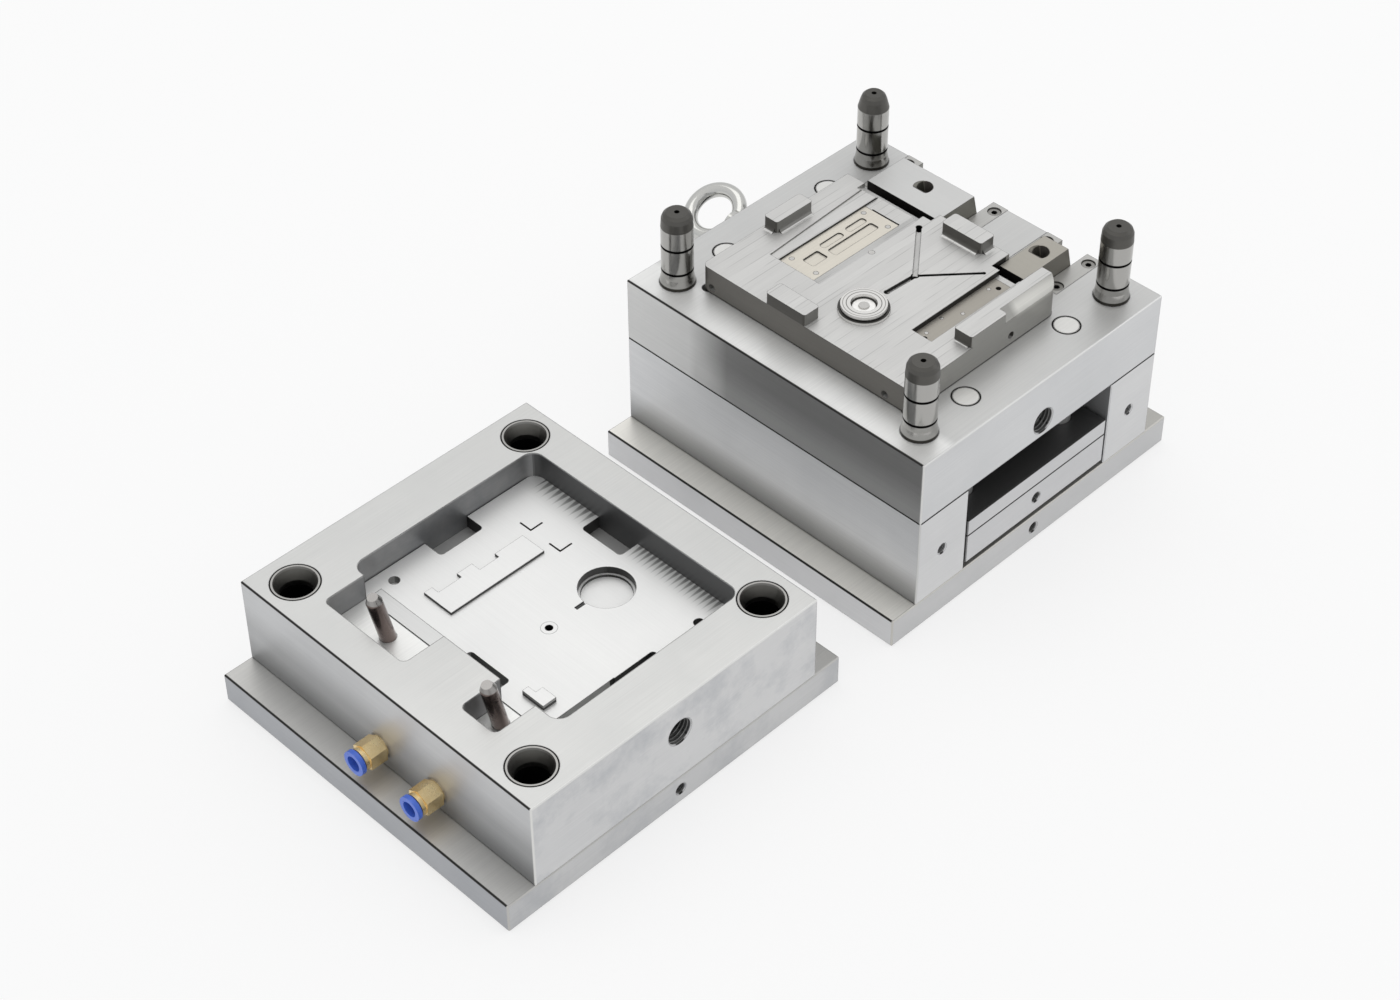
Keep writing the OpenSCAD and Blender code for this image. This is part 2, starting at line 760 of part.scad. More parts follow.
// Core insert with its bosses, small insert seats and runners
module core_insert() {
    color("whitesmoke") in_core_half() difference() {
        union() {
            translate([0, 0, z_insert]) linear_extrude(z_block - z_insert) insert_plan(0);
            bosses();
        }
        panel_recess();
        lip_slope();
        block(panel_x - [seat, -seat], panel_y - [seat, -seat], [z_small, z_block + eps]);
        block([bar_x[0], bay_2_x + eps], bar_y, [bar_floor, z_block + eps]);
        block(bar_x - [seat, -seat], bar_y - [seat, -seat], [z_small, bar_floor + eps]);
        at([round_at]) rod(round_d + 2 * seat, z_small, z_block + eps);
        runner(runner_ends[0], runner_w);
        runner(runner_ends[1], thin_runner_w);
        runner(runner_ends[2], runner_w);
        at([runner_ends[0]]) rod(gate_d, z_block - gate_depth, z_block + eps);
        at([[0, sprue_y]]) rod(puller_d + 2 * run, z_insert - eps, z_block + eps);
        at([web_pin]) rod(web_pin_d + 2 * run, z_insert - eps, z_block + eps);
        small_pin_passages(z_insert - eps, z_small + eps);
        at(core_screws) rod(m10[0] + 2 * seat, z_insert - eps, z_insert + m10_grip + spare);
        insert_side_holes();
    }
}

// Shallow pockets and steps of the panel
module panel_details() {
    len = panel_x[1] - panel_x[0];
    wide = panel_y[1] - panel_y[0];
    for (c = panel_cuts)
        round_block([for (k = [0, 1]) panel_x[0] + len * c[k]], [for (k = [2, 3]) panel_y[0] + wide * c[k]],
                    [panel_floor - c[4], panel_floor + eps], c[5]);
}

// Small insert that forms the panel
module panel_insert() {
    color("bisque") in_core_half() difference() {
        block(panel_x, panel_y, [z_small, panel_floor]);
        at(panel_pins) rod(panel_pin_d + 2 * run, z_small - eps, z_block);
        panel_details();
    }
}

// Small insert that forms the bar
module bar_insert() {
    color("tan") in_core_half() difference() {
        block(bar_x, bar_y, [z_small, bar_floor]);
        at(bar_pins) rod(bar_pin_d + 2 * run, z_small - eps, z_block);
        at(bar_holes) rod(bar_hole_d, bar_floor - bar_hole_depth, bar_floor + eps);
    }
}

// Round core with its rim, undercut groove, disc and hub pocket
module round_core() {
    color("gainsboro") in_core_half() at([round_at]) difference() {
        union() {
            rod(round_d, z_small, z_block + rim_h);
            rod(round_d - 4 * disc_in, z_block, z_block + rim_h + groove_h + root);
            rod(round_d - 2 * disc_in, z_block + rim_h + groove_h, z_block + round_rise);
        }
        rod(hub_d, z_block + round_rise - hub_depth, z_block + round_rise + eps);
        rod(round_pin_d + 2 * run, z_small - eps, z_block + round_rise);
    }
}

// Guide pin: head, seat, flared foot, shaft with oil grooves and a domed cap
module guide_pin(slim) {
    top = z_part + pin_rise;
    cap_d = pin_d - slim;
    difference() {
        union() {
            rod(pin_d + head_more, z_core, z_core + guide_head_h);
            rod(pin_d + seat_more, z_core + guide_head_h - root, z_part);
            cone(pin_d + seat_more, pin_d, z_part, z_part + flare_h);
            rod(pin_d, z_part, top - cap_h);
            cone(pin_d, cap_d, top - cap_h, top - 5);
            cone(cap_d, cap_d - 2.5, top - 5, top - 2);
            cone(cap_d - 2.5, cap_d - 7, top - 2, top);
        }
        for (drop = oil_groove_drops) translate([0, 0, top - drop]) rotate_extrude()
            translate([pin_d / 2 - oil_groove_depth, -oil_groove_w / 2]) square([2, oil_groove_w]);
        rod(tip_hole_d, top - tip_hole_depth, top + eps);
    }
}

// Three equal guide pins
module guide_pins() {
    color("dimgray") in_core_half() at([[-pin_x, pin_y], [-pin_x, -pin_y], [pin_x, -pin_y]]) guide_pin(1);
}

// Fourth guide pin, with a slimmer tip
module guide_pin_conical() {
    color("dimgray") in_core_half() at([[pin_x, pin_y]]) guide_pin(4);
}

// Gib beside a slide: its undercut holds down the ear of the slide
module gib(y, w, side) {
    near = w / 2 + side_clear;
    under = w / 2 + ear_w + run;
    far = near + gib_w - seat;
    color("silver") in_core_half() difference() {
        translate([0, y, 0]) mirror([0, side < 0 ? 1 : 0, 0])
            profile_x(gib_x + seat, base_w / 2,
                      [[near, z_way + ear_h + run], [under, z_way + ear_h + run], [under, z_way],
                       [far, z_way], [far, z_part], [near, z_part]]);
        gib_screw_places() {
            rod(m6[0] + pass, z_way - eps, z_part + eps);
            rod(m6[1] + pass, z_part - m6[2] - spare, z_part + eps);
        }
    }
}

module gib_slide_1_front() { gib(slide_1_y, slide_1_w, -1); }
module gib_slide_1_rear() { gib(slide_1_y, slide_1_w, 1); }
module gib_slide_2_front() { gib(slide_2_y, slide_2_w, -1); }
module gib_slide_2_rear() { gib(slide_2_y, slide_2_w, 1); }

// Screws of the gibs, heads up
module gib_screws() {
    color("dimgray") in_core_half() gib_screw_places() translate([0, 0, z_part - spare])
        mirror([0, 0, 1]) screw(m6, 0, way_depth - spare + m6_grip);
}

// Stop blocks behind the slides
module slide_stops() {
    color("dimgray") in_core_half() slide_stop_places() difference() {
        block([-stop_len / 2, stop_len / 2], [-stop_w / 2, stop_w / 2], [z_way, z_way + slide_stop_h]);
        rod(m6[0] + pass, z_way - eps, z_way + slide_stop_h + eps);
    }
}

// Screws of the slide stops, heads up
module slide_stop_screws() {
    color("dimgray") in_core_half() slide_stop_places() translate([0, 0, z_way + slide_stop_h + m6[2]])
        mirror([0, 0, 1]) screw([m6[0], stop_len - 0.5, m6[2]], 0, slide_stop_h + m6[2] + m6_grip);
}

// Slide with ears, a heel face at the back and a tilted bore
module slide(y, w, face, bore_y) {
    nose = face + closed_gap + stroke;
    z_foot = z_way + run;
    color("silver") in_core_half() difference() {
        translate([0, y, 0]) union() {
            profile_y(-w / 2, w / 2,
                      [[nose, z_foot], [slide_foot_x, z_foot], [slide_foot_x, z_slide - heel_h],
                       [slide_top_x, z_slide], [nose, z_slide]]);
            block([ear_x, slide_foot_x], [-w / 2 - ear_w, w / 2 + ear_w], [z_foot, z_way + ear_h]);
        }
        translate([bore_x, bore_y, z_slide]) rotate([0, -pin_tilt, 0]) {
            translate([0, 0, -2 * way_depth]) cylinder(d = bore_d, h = 3 * way_depth);
            translate([0, 0, -bore_lip]) cylinder(d1 = bore_d, d2 = bore_d + 4 * bore_lip, h = 2 * bore_lip);
        }
    }
}

module slide_1() { slide(slide_1_y, slide_1_w, bay_1_x, bore_1_y); }
module slide_2() { slide(slide_2_y, slide_2_w, bay_2_x, bore_2_y); }

// Long screws from the clamp plate through the spacer blocks
module core_plate_screws() {
    color("dimgray") in_core_half() corners(plate_screw_x, plate_screw_y)
        screw(m14, spare, z_core + m14_grip - spare);
}

// Screws that hold the core insert down
module core_insert_screws() {
    color("dimgray") in_core_half() at(core_screws) screw(m10, z_core + spare, z_insert + m10_grip);
}

// Stop buttons pressed into the clamp plate
module stop_buttons() {
    color("dimgray") in_core_half() button_places() {
        rod(button_d, clamp_t, clamp_t + stop_h);
        rod(button_shank_d, clamp_t - button_shank, clamp_t + root);
    }
}

// Lifting eye bolt in the +Y side of the core plate
module lifting_eye_bolt() {
    color("silver") in_core_half() translate([0, base_l / 2 + eye_stand, eye_z]) rotate([-90, 0, 0]) union() {
        translate([0, 0, -eye_stand - eye_depth]) cylinder(d = eye_thread_d, h = eye_stand + eye_depth + root);
        cylinder(d = eye_neck_d, h = eye_neck_h);
        translate([0, 0, eye_neck_h]) cylinder(d1 = eye_neck_d, d2 = eye_bar_d - 2, h = 3);
        translate([0, 0, eye_ring_y]) rotate([0, 0, -eye_turn]) rotate([90, 0, 0]) rotate_extrude()
            translate([(eye_outer_d - eye_bar_d) / 2, 0]) circle(d = eye_bar_d);
    }
}

// Ejector plate under the retainer plate
module ejector_plate() {
    color("gainsboro") in_core_half() difference() {
        plate([-ejector_half, ejector_half], [-base_l / 2, base_l / 2], [z_ejector, z_retainer]);
        corners(ejector_screw_x, ejector_screw_y) screw_passage(m8, z_ejector, z_ejector + m8[2] + spare, z_retainer);
        side_hole(0, (z_ejector + z_retainer) / 2, small_hole_d, small_hole_depth, -1);
    }
}

// Stepped bore in the retainer plate for a pin and its head
module head_bore(d) {
    rod(d + pass, z_retainer - eps, z_ejector_top + eps);
    rod(d + 2 * pin_head_over + pass, z_retainer - eps, z_retainer + pin_head_h + run);
}

// Pin with its head on the ejector plate, up to a level
module ejector_pin(d, z_top) {
    rod(d + 2 * pin_head_over, z_retainer, z_retainer + pin_head_h);
    rod(d, z_retainer, z_top);
}

// Retainer plate that holds the heads of all pins
module ejector_retainer_plate() {
    color("gainsboro") in_core_half() difference() {
        plate([-ejector_half, ejector_half], [-base_l / 2, base_l / 2], [z_retainer, z_ejector_top]);
        corners(return_x, return_y) head_bore(return_d);
        at(panel_pins) head_bore(panel_pin_d);
        at(bar_pins) head_bore(bar_pin_d);
        at([round_at]) head_bore(round_pin_d);
        at([web_pin]) head_bore(web_pin_d);
        at([[0, sprue_y]]) head_bore(puller_d);
        corners(ejector_screw_x, ejector_screw_y) rod(m8[0] + 2 * seat, z_retainer - eps, z_ejector_top - 2);
    }
}

// Screws that join the two ejector plates, heads below
module ejector_plate_screws() {
    color("dimgray") in_core_half() corners(ejector_screw_x, ejector_screw_y)
        screw(m8, z_ejector + spare, z_ejector_top - 3);
}

module return_pins() {
    color("silver") in_core_half() corners(return_x, return_y) ejector_pin(return_d, z_part);
}

module panel_ejector_pins() {
    color("silver") in_core_half() at(panel_pins) ejector_pin(panel_pin_d, panel_floor);
}

module bar_ejector_pins() {
    color("silver") in_core_half() at(bar_pins) ejector_pin(bar_pin_d, bar_floor);
}

module round_ejector_pin() {
    color("silver") in_core_half() at([round_at]) ejector_pin(round_pin_d, z_block + round_rise - 2);
}

module web_ejector_pin() {
    color("silver") in_core_half() at([web_pin]) ejector_pin(web_pin_d, z_block);
}

// Sprue puller, set back for the cold slug, with a slot across its tip
module sprue_puller() {
    tip = z_block - slug_depth;
    color("silver") in_core_half() at([[0, sprue_y]]) difference() {
        ejector_pin(puller_d, tip);
        block([1, puller_d], [-puller_d, puller_d], [tip - 4, tip - 2]);
    }
}

// Clamp plate of the cavity half, which lies underneath
module cavity_clamp_plate() {
    color("silver") in_cavity_half() difference() {
        clamp_plate();
        at([[0, sprue_y]]) {
            rod(ring_seat_d, -eps, ring_seat_h);
            rod(sprue_head_d + 2 * seat, ring_seat_h - eps, ring_seat_h + sprue_head_h);
            rod(sprue_d + 2 * seat, ring_seat_h, clamp_t + eps);
        }
        corners(cavity_screw_x, plate_screw_y) screw_passage(m14, 0, m14[2] + spare, clamp_t);
        side_hole(0, clamp_t / 2, small_hole_d, small_hole_depth, -1);
    }
}

// Pocket for the head and heel of one slide
module heel_pocket(y) {
    intersection() {
        round_block([-heel_x, main_x[0] + 2 * heel_r], y, [z_floor, z_face + eps], heel_r);
        profile_y(y[0], y[1],
                  [[0, z_floor], [0, z_face + eps], [-heel_x, z_face + eps], [-heel_x, z_face],
                   [-heel_x + block_rise * tan(heel_tilt), z_floor]]);
    }
}

// Tilted axis of an angle pin, its origin on the floor of the cavity half
module on_angle_axis(y) {
    translate([angle_x, y, z_floor]) rotate([0, -pin_tilt, 0]) children();
}

// Cavity plate with the insert pocket, the heel pockets and all bores
module cavity_plate() {
    color("gainsboro") in_cavity_half() difference() {
        plate([-base_w / 2, base_w / 2], [-base_l / 2, base_l / 2], [z_cavity, z_face]);
        round_block(main_x, main_y, [z_bed, z_face + eps], main_r);
        heel_pocket(heel_1_y);
        heel_pocket(heel_2_y);
        corners(pin_x, pin_y) {
            rod(bush_d + 2 * seat, z_cavity - eps, z_face + eps);
            rod(bush_d + bush_collar + pass, z_cavity - eps, z_cavity + bush_collar_h);
            cone(bush_d, bush_d + 2 * (bush_lip + eps), z_face - bush_lip, z_face + eps);
        }
        for (y = angle_pin_y) on_angle_axis(y) {
            translate([0, 0, -cavity_plate_t]) cylinder(d = angle_d + 2 * seat, h = 2 * cavity_plate_t);
            translate([0, 0, -angle_down - 10]) cylinder(d = angle_head_d + pass, h = 10 + angle_head_h);
        }
        corners(cavity_screw_x, plate_screw_y) rod(m14[0] + 2 * seat, z_cavity - eps, z_cavity + m14_grip);
        at(cavity_screws) screw_passage(m10, z_cavity, z_cavity + m10[2] + spare, z_bed);
        at([[0, sprue_y]]) rod(sprue_d + 2 * seat, z_cavity - eps, z_bed + eps);
        for (s = [-1, 1]) translate([-base_w / 2 - eps, fitting_y + s * fitting_pitch / 2, fitting_z])
            rotate([0, 90, 0]) {
                cylinder(d = fitting_thread_d + 2 * seat, h = fitting_thread_l + eps + spare);
                cylinder(d = cooling_d, h = cooling_depth + eps);
            }
        side_hole(0, cavity_lift_z, lift_d, lift_depth, -1);
        side_hole(0, cavity_lift_z, lift_d, lift_depth, 1);
    }
}

// Notches for the four bosses and the recess for the shoulder
module notches() {
    z = [z_floor - boss_h - notch_gap, z_floor + eps];
    far = 5;
    round_block([insert_left - boss_w - notch_gap, main_x[1] + far],
                left_boss_y + [-notch_gap, notch_gap], z, notch_r);
    round_block([-rear_boss_x[1] - notch_gap, -rear_boss_x[0] + notch_gap],
                [rear_boss_y - notch_gap, main_y[1] + far], z, notch_r);
    round_block([main_x[0] - far, -tongue_x + boss_w + notch_gap],
                right_boss_y + [-notch_gap, notch_gap], z, notch_r);
    round_block([-front_boss_x[1] - notch_gap, -front_boss_x[0] + notch_gap],
                [main_y[0] - far, front_boss_y + notch_gap], z, notch_r);
    profile_x(-nose_x - notch_gap, -front_boss_x[1] + notch_r,
              [[main_y[0] - far, z[0]], [front_boss_y + notch_gap, z[0]],
               [shoulder_foot_y + notch_gap, z_floor], [shoulder_foot_y + notch_gap, z[1]],
               [main_y[0] - far, z[1]]]);
}

// Two angular shut-off grooves at the end of the pad
module corner_marks() {
    z = [z_floor - mark_depth, z_floor + eps];
    for (m = marks_at) {
        block([m[0], m[0] + mark_w], [m[1], m[1] + mark_len], z);
        block([m[0], m[0] + mark_len], [m[1], m[1] + mark_w], z);
    }
}

// Cavity insert: notches, pad, round recess, marks and the sprue
module cavity_insert() {
    color("whitesmoke") in_cavity_half() difference() {
        union() {
            round_block(main_x + [seat, -seat], main_y + [seat, -seat], [z_bed, z_floor], main_r);
            translate([0, 0, z_floor - root]) linear_extrude(root + pad_h)
                polygon([[pad_left, pad_front], [pad_right, pad_front], [pad_right, pad_front + pad_steps[0][1]],
                         for (p = pad_steps) [pad_left + p[0], pad_front + p[1]]]);
            block(step_wide_x, step_wide_y, [z_floor - root, z_floor + step_h]);
            block(step_long_x, step_long_y, [z_floor - root, z_floor + step_h]);
        }
        notches();
        block([main_x[0] - eps, side_bar_x + seat], side_bar_y + [-seat, seat],
              [z_floor - side_bar_h, z_floor + eps]);
        translate([-round_at[0], round_at[1], 0]) {
            rod(recess_d, z_floor - recess_depth + round_step, z_floor + eps);
            rod(recess_d - 2 * round_step, z_floor - recess_depth, z_floor);
        }
        translate([gate_groove_x[0], round_at[1], z_floor]) rotate([0, 90, 0])
            cylinder(d = gate_groove_w, h = gate_groove_x[1] - gate_groove_x[0]);
        at([[0, sprue_y]]) rod(sprue_d + 2 * seat, z_bed - eps, z_floor + eps);
        at(blind_at) rod(blind_d, z_floor - blind_depth, z_floor + eps);
        break_x(main_x, main_y[1] - seat, z_floor);
        break_y(main_x[0] + seat, main_y, z_floor);
        corner_marks();
        at(cavity_screws) rod(m10[0] + 2 * seat, z_bed - eps, z_bed + m10_grip + spare);
    }
}

// Bar let into the cavity insert in front of slide 1
module cavity_side_bar() {
    color("whitesmoke") in_cavity_half() difference() {
        block([main_x[0] + seat, side_bar_x], side_bar_y, [z_floor - side_bar_h, z_floor]);
        break_y(main_x[0] + seat, side_bar_y, z_floor);
    }
}

// Sprue bush with a hollow for the nozzle and a tapered sprue
module sprue_bush() {
    color("silver") in_cavity_half() at([[0, sprue_y]]) difference() {
        union() {
            rod(sprue_head_d, ring_seat_h, ring_seat_h + sprue_head_h);
            rod(sprue_d, ring_seat_h, z_floor);
        }
        translate([0, 0, ring_seat_h + nozzle_depth - nozzle_r]) sphere(r = nozzle_r);
        cone(sprue_inlet, sprue_outlet, ring_seat_h, z_floor);
        rod(sprue_outlet, z_floor - root, z_floor + eps);
    }
}

// Guide bushes with a collar below and a wide tapered mouth
module guide_bushes() {
    color("dimgray") in_cavity_half() corners(pin_x, pin_y) difference() {
        union() {
            rod(bush_d, z_cavity, z_face);
            rod(bush_d + bush_collar, z_cavity, z_cavity + bush_collar_h);
        }
        rod(pin_d + 2 * run, z_cavity - eps, z_face + eps);
        cone(pin_d + 2 * run, bush_d - 2 * bush_wall, z_face - bush_mouth_h, z_face);
        rod(bush_d - 2 * bush_wall, z_face - seat, z_face + eps);
    }
}

// Angle pin: its head lies in the back of the cavity plate
module angle_pin(y) {
    color("saddlebrown") in_cavity_half() intersection() {
        on_angle_axis(y) {
            translate([0, 0, -angle_down - 10]) cylinder(d = angle_head_d, h = 10 + angle_head_h);
            translate([0, 0, -angle_down - 10])
                cylinder(d = angle_d, h = 10 + angle_down + angle_rise - angle_tip_h);
            translate([0, 0, angle_rise - angle_tip_h])
                cylinder(d1 = angle_d, d2 = angle_tip_d, h = angle_tip_h);
            cylinder(d = angle_tip_d, h = angle_rise);
        }
        block([-base_w / 2, 0], [-base_l / 2, base_l / 2], [z_cavity, 2 * z_face]);
    }
}

module angle_pin_1() { angle_pin(angle_pin_y[0]); }
module angle_pin_2() { angle_pin(angle_pin_y[1]); }

// Screws from the clamp plate into the cavity plate
module cavity_plate_screws() {
    color("dimgray") in_cavity_half() corners(cavity_screw_x, plate_screw_y)
        screw(m14, spare, z_cavity + m14_grip - spare);
}

// Screws that hold the cavity insert
module cavity_insert_screws() {
    color("dimgray") in_cavity_half() at(cavity_screws) screw(m10, z_cavity + spare, z_bed + m10_grip);
}

// Axis of a fitting, pointing out of the -X side of the cavity plate
module on_fitting_axis(side) {
    in_cavity_half() translate([-base_w / 2, fitting_y + side * fitting_pitch / 2, fitting_z])
        rotate([0, -90, 0]) children();
}

// Brass body of a push-in fitting
module fitting_body(side) {
    color("goldenrod") on_fitting_axis(side) difference() {
        union() {
            translate([0, 0, -fitting_thread_l]) cylinder(d = fitting_thread_d, h = fitting_thread_l + root);
            cylinder(d = fitting_hex - 3, h = 2);
            translate([0, 0, 1.5]) cylinder(d = fitting_hex / cos(30), h = fitting_hex_h, $fn = 6);
            cylinder(d = fitting_d, h = fitting_len);
        }
        translate([0, 0, -fitting_thread_l - eps]) cylinder(d = cooling_d, h = fitting_len + fitting_thread_l);
        translate([0, 0, z_sleeve - 8]) cylinder(d = hose_d + 2 * hose_clear, h = fitting_len);
        translate([0, 0, z_sleeve - 2]) cylinder(d = sleeve_bore_d, h = fitting_len);
    }
}

module fitting_body_1() { fitting_body(1); }
module fitting_body_2() { fitting_body(-1); }

// Ring that releases the hose when it is pushed in
module release_ring(side) {
    color("royalblue") on_fitting_axis(side) difference() {
        union() {
            translate([0, 0, z_sleeve]) cylinder(d = sleeve_d, h = sleeve_h + ring_gap + root);
            translate([0, 0, fitting_len + ring_gap]) cylinder(d = fitting_d + 2 * ring_over, h = ring_t);
        }
        translate([0, 0, z_sleeve - eps]) cylinder(d = hose_d + 2 * hose_clear, h = 2 * fitting_len);
    }
}

module release_ring_1() { release_ring(1); }
module release_ring_2() { release_ring(-1); }

core_clamp_plate();
spacer_block_left();
spacer_block_right();
core_plate();
core_insert();
panel_insert();
bar_insert();
round_core();
guide_pins();
guide_pin_conical();
gib_slide_1_front();
gib_slide_1_rear();
gib_slide_2_front();
gib_slide_2_rear();
gib_screws();
slide_stops();
slide_stop_screws();
core_plate_screws();
core_insert_screws();
stop_buttons();
lifting_eye_bolt();
ejector_plate();
ejector_retainer_plate();
ejector_plate_screws();
return_pins();
panel_ejector_pins();
bar_ejector_pins();
round_ejector_pin();
web_ejector_pin();
sprue_puller();
slide_1();
slide_2();
cavity_clamp_plate();
cavity_plate();
cavity_insert();
cavity_side_bar();
sprue_bush();
guide_bushes();
angle_pin_1();
angle_pin_2();
cavity_plate_screws();
cavity_insert_screws();
fitting_body_1();
fitting_body_2();
release_ring_1();
release_ring_2();
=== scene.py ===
"""Prototype injection mould, opened and laid out as two halves: its looks.

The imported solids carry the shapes. This script gives every solid its finish,
adds the thread turns that only the eye needs, and sets floor, lamps and camera.
Lengths are metres in the part's own frame.
"""
import math
import bmesh
import bpy
from mathutils import Matrix, Vector


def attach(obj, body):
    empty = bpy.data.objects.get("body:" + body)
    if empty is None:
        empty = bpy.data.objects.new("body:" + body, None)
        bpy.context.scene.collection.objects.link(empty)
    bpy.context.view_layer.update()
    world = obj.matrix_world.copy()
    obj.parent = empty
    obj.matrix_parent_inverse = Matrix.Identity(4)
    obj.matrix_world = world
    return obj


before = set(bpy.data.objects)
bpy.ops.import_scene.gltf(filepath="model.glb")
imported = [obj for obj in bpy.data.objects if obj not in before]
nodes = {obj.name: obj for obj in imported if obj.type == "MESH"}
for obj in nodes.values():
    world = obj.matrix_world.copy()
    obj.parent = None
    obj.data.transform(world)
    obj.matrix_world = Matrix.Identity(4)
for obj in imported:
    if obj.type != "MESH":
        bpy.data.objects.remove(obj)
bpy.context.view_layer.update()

# Middles and outer faces of the two halves; the core half has its middle at x = 0.
# Values of the core half end in 1, and those of the cavity half in 2.
CORE_Y = 0.020
CAVITY_X = -0.3725
CAVITY_Y = 0.024
HALF_BASE = 0.150
FRONT_1 = CORE_Y - HALF_BASE
FRONT_2 = CAVITY_Y - HALF_BASE
REAR_2 = CAVITY_Y + HALF_BASE
CLAMP_LEFT_1, PLATE_LEFT_1 = -0.160, -0.135
CLAMP_LEFT_2, PLATE_LEFT_2 = CAVITY_X - 0.160, CAVITY_X - 0.135

# Levels: top of the clamp plates, of the ejector box, parting faces, floor of the cavity
Z_CLAMP = 0.025
Z_BOX = 0.105
Z_PART = 0.161
Z_FACE = 0.100
Z_FLOOR = 0.0775

# Tapped holes: their levels, and the half width of the room that each thread takes
Z_CLAMP_HOLE = 0.0125
Z_SPACER_HOLE = 0.064
Z_EJECTOR_HOLE = 0.0435
Z_CORE_LIFT = 0.120
Z_CAVITY_LIFT = 0.070
SPACER_HOLE_X = 0.1085
M10_ROOM, M24_ROOM = 0.006, 0.0126


def put(name, data):
    """New object in the scene."""
    item = bpy.data.objects.new(name, data)
    bpy.context.scene.collection.objects.link(item)
    return item


def place_camera():
    """Camera at the photograph's viewpoint, worked out from the straight edges of both halves."""
    right = Vector((0.69679, -0.71725, 0.00682))
    down = Vector((-0.46216, -0.45621, -0.76045))
    ahead = Vector((0.54854, 0.52672, -0.64936))
    turn = Matrix((right, -down, -ahead)).transposed().to_4x4()
    data = bpy.data.cameras.new("camera")
    data.sensor_width = 36.0
    data.lens = 73.60
    data.shift_x = -0.0373
    data.shift_y = -0.0800
    data.clip_start = 0.05
    data.clip_end = 50.0
    cam = put("camera", data)
    cam.matrix_world = Matrix.Translation((-1.29241, -1.07388, 1.50336)) @ turn
    bpy.context.scene.camera = cam


# Small helpers for node trees

class Tree:
    """A node tree that places nodes and joins sockets in short calls."""

    def __init__(self, tree):
        self.tree = tree
        self.across = 0

    def add(self, kind, settings=None, **inputs):
        """New node. An input is named by its label, or as i0, i1 and so on by its order."""
        node = self.tree.nodes.new(kind)
        self.across += 180
        node.location = (self.across, 0)
        for key, value in (settings or {}).items():
            setattr(node, key, value)
        for key, value in inputs.items():
            name = key.replace("_", " ")
            by_order = name[0] == "i" and name[1:].isdigit()
            self.feed(node.inputs[int(name[1:]) if by_order else name], value)
        return node

    def feed(self, socket, value):
        if isinstance(value, bpy.types.NodeSocket):
            self.tree.links.new(value, socket)
        else:
            socket.default_value = value

    def math(self, operation, a, b=0.0):
        return self.add("ShaderNodeMath", {"operation": operation}, i0=a, i1=b).outputs[0]

    def times(self, first, *others):
        product = first
        for other in others:
            product = self.math("MULTIPLY", product, other)
        return product

    def remap(self, value, low, high, to_low=0.0, to_high=1.0):
        node = self.add("ShaderNodeMapRange", {"clamp": True}, Value=value, From_Min=low,
                        From_Max=high, To_Min=to_low, To_Max=to_high)
        return node.outputs[0]

    def mix(self, factor, a, b, blend="MIX"):
        node = self.add("ShaderNodeMix", {"data_type": "RGBA", "blend_type": blend})
        self.feed(node.inputs[0], factor)
        self.feed(node.inputs[6], a)
        self.feed(node.inputs[7], b)
        return node.outputs[2]

    def tint(self, factor, base, color):
        """The base, multiplied by a colour as far as the factor says."""
        return self.mix(factor, base, self.mix(1.0, base, color, "MULTIPLY"))

    def choose(self, factor, a, b):
        """Number a where the factor is 0, and b where it is 1."""
        node = self.add("ShaderNodeMix", {"data_type": "FLOAT"})
        self.feed(node.inputs[0], factor)
        self.feed(node.inputs[2], a)
        self.feed(node.inputs[3], b)
        return node.outputs[0]

    def noise(self, vector, scale, detail, roughness=0.5):
        return self.add("ShaderNodeTexNoise", Vector=vector, Scale=scale, Detail=detail,
                        Roughness=roughness).outputs[0]

    def place(self):
        return self.add("ShaderNodeTexCoord").outputs["Object"]

    def parts(self, vector):
        return self.add("ShaderNodeSeparateXYZ", i0=vector).outputs


# Shader groups that several finishes share. They put out masks and numbers only.

def shared_group(name, ins, outs):
    """New shader group with named number inputs and outputs."""
    tree = bpy.data.node_groups.new(name, "ShaderNodeTree")
    for label, value in ins:
        socket = tree.interface.new_socket(label, in_out="INPUT", socket_type="NodeSocketFloat")
        socket.default_value = value
    for label in outs:
        tree.interface.new_socket(label, in_out="OUTPUT", socket_type="NodeSocketFloat")
    t = Tree(tree)
    return t, t.add("NodeGroupInput").outputs, t.add("NodeGroupOutput").inputs


def facing():
    """Masks of the ways that a face looks: up or down, left or right, and broken edges between."""
    t, _, out = shared_group("facing", [], ["Flat", "Side", "Edge"])
    x, _, z = t.parts(t.add("ShaderNodeNewGeometry").outputs["True Normal"])
    upright = t.math("ABSOLUTE", z)
    t.feed(out["Flat"], t.remap(upright, 0.80, 0.86))
    t.feed(out["Side"], t.remap(t.math("ABSOLUTE", x), 0.60, 0.72))
    t.feed(out["Edge"], t.times(t.remap(upright, 0.62, 0.68), t.remap(upright, 0.76, 0.72)))
    return t.tree


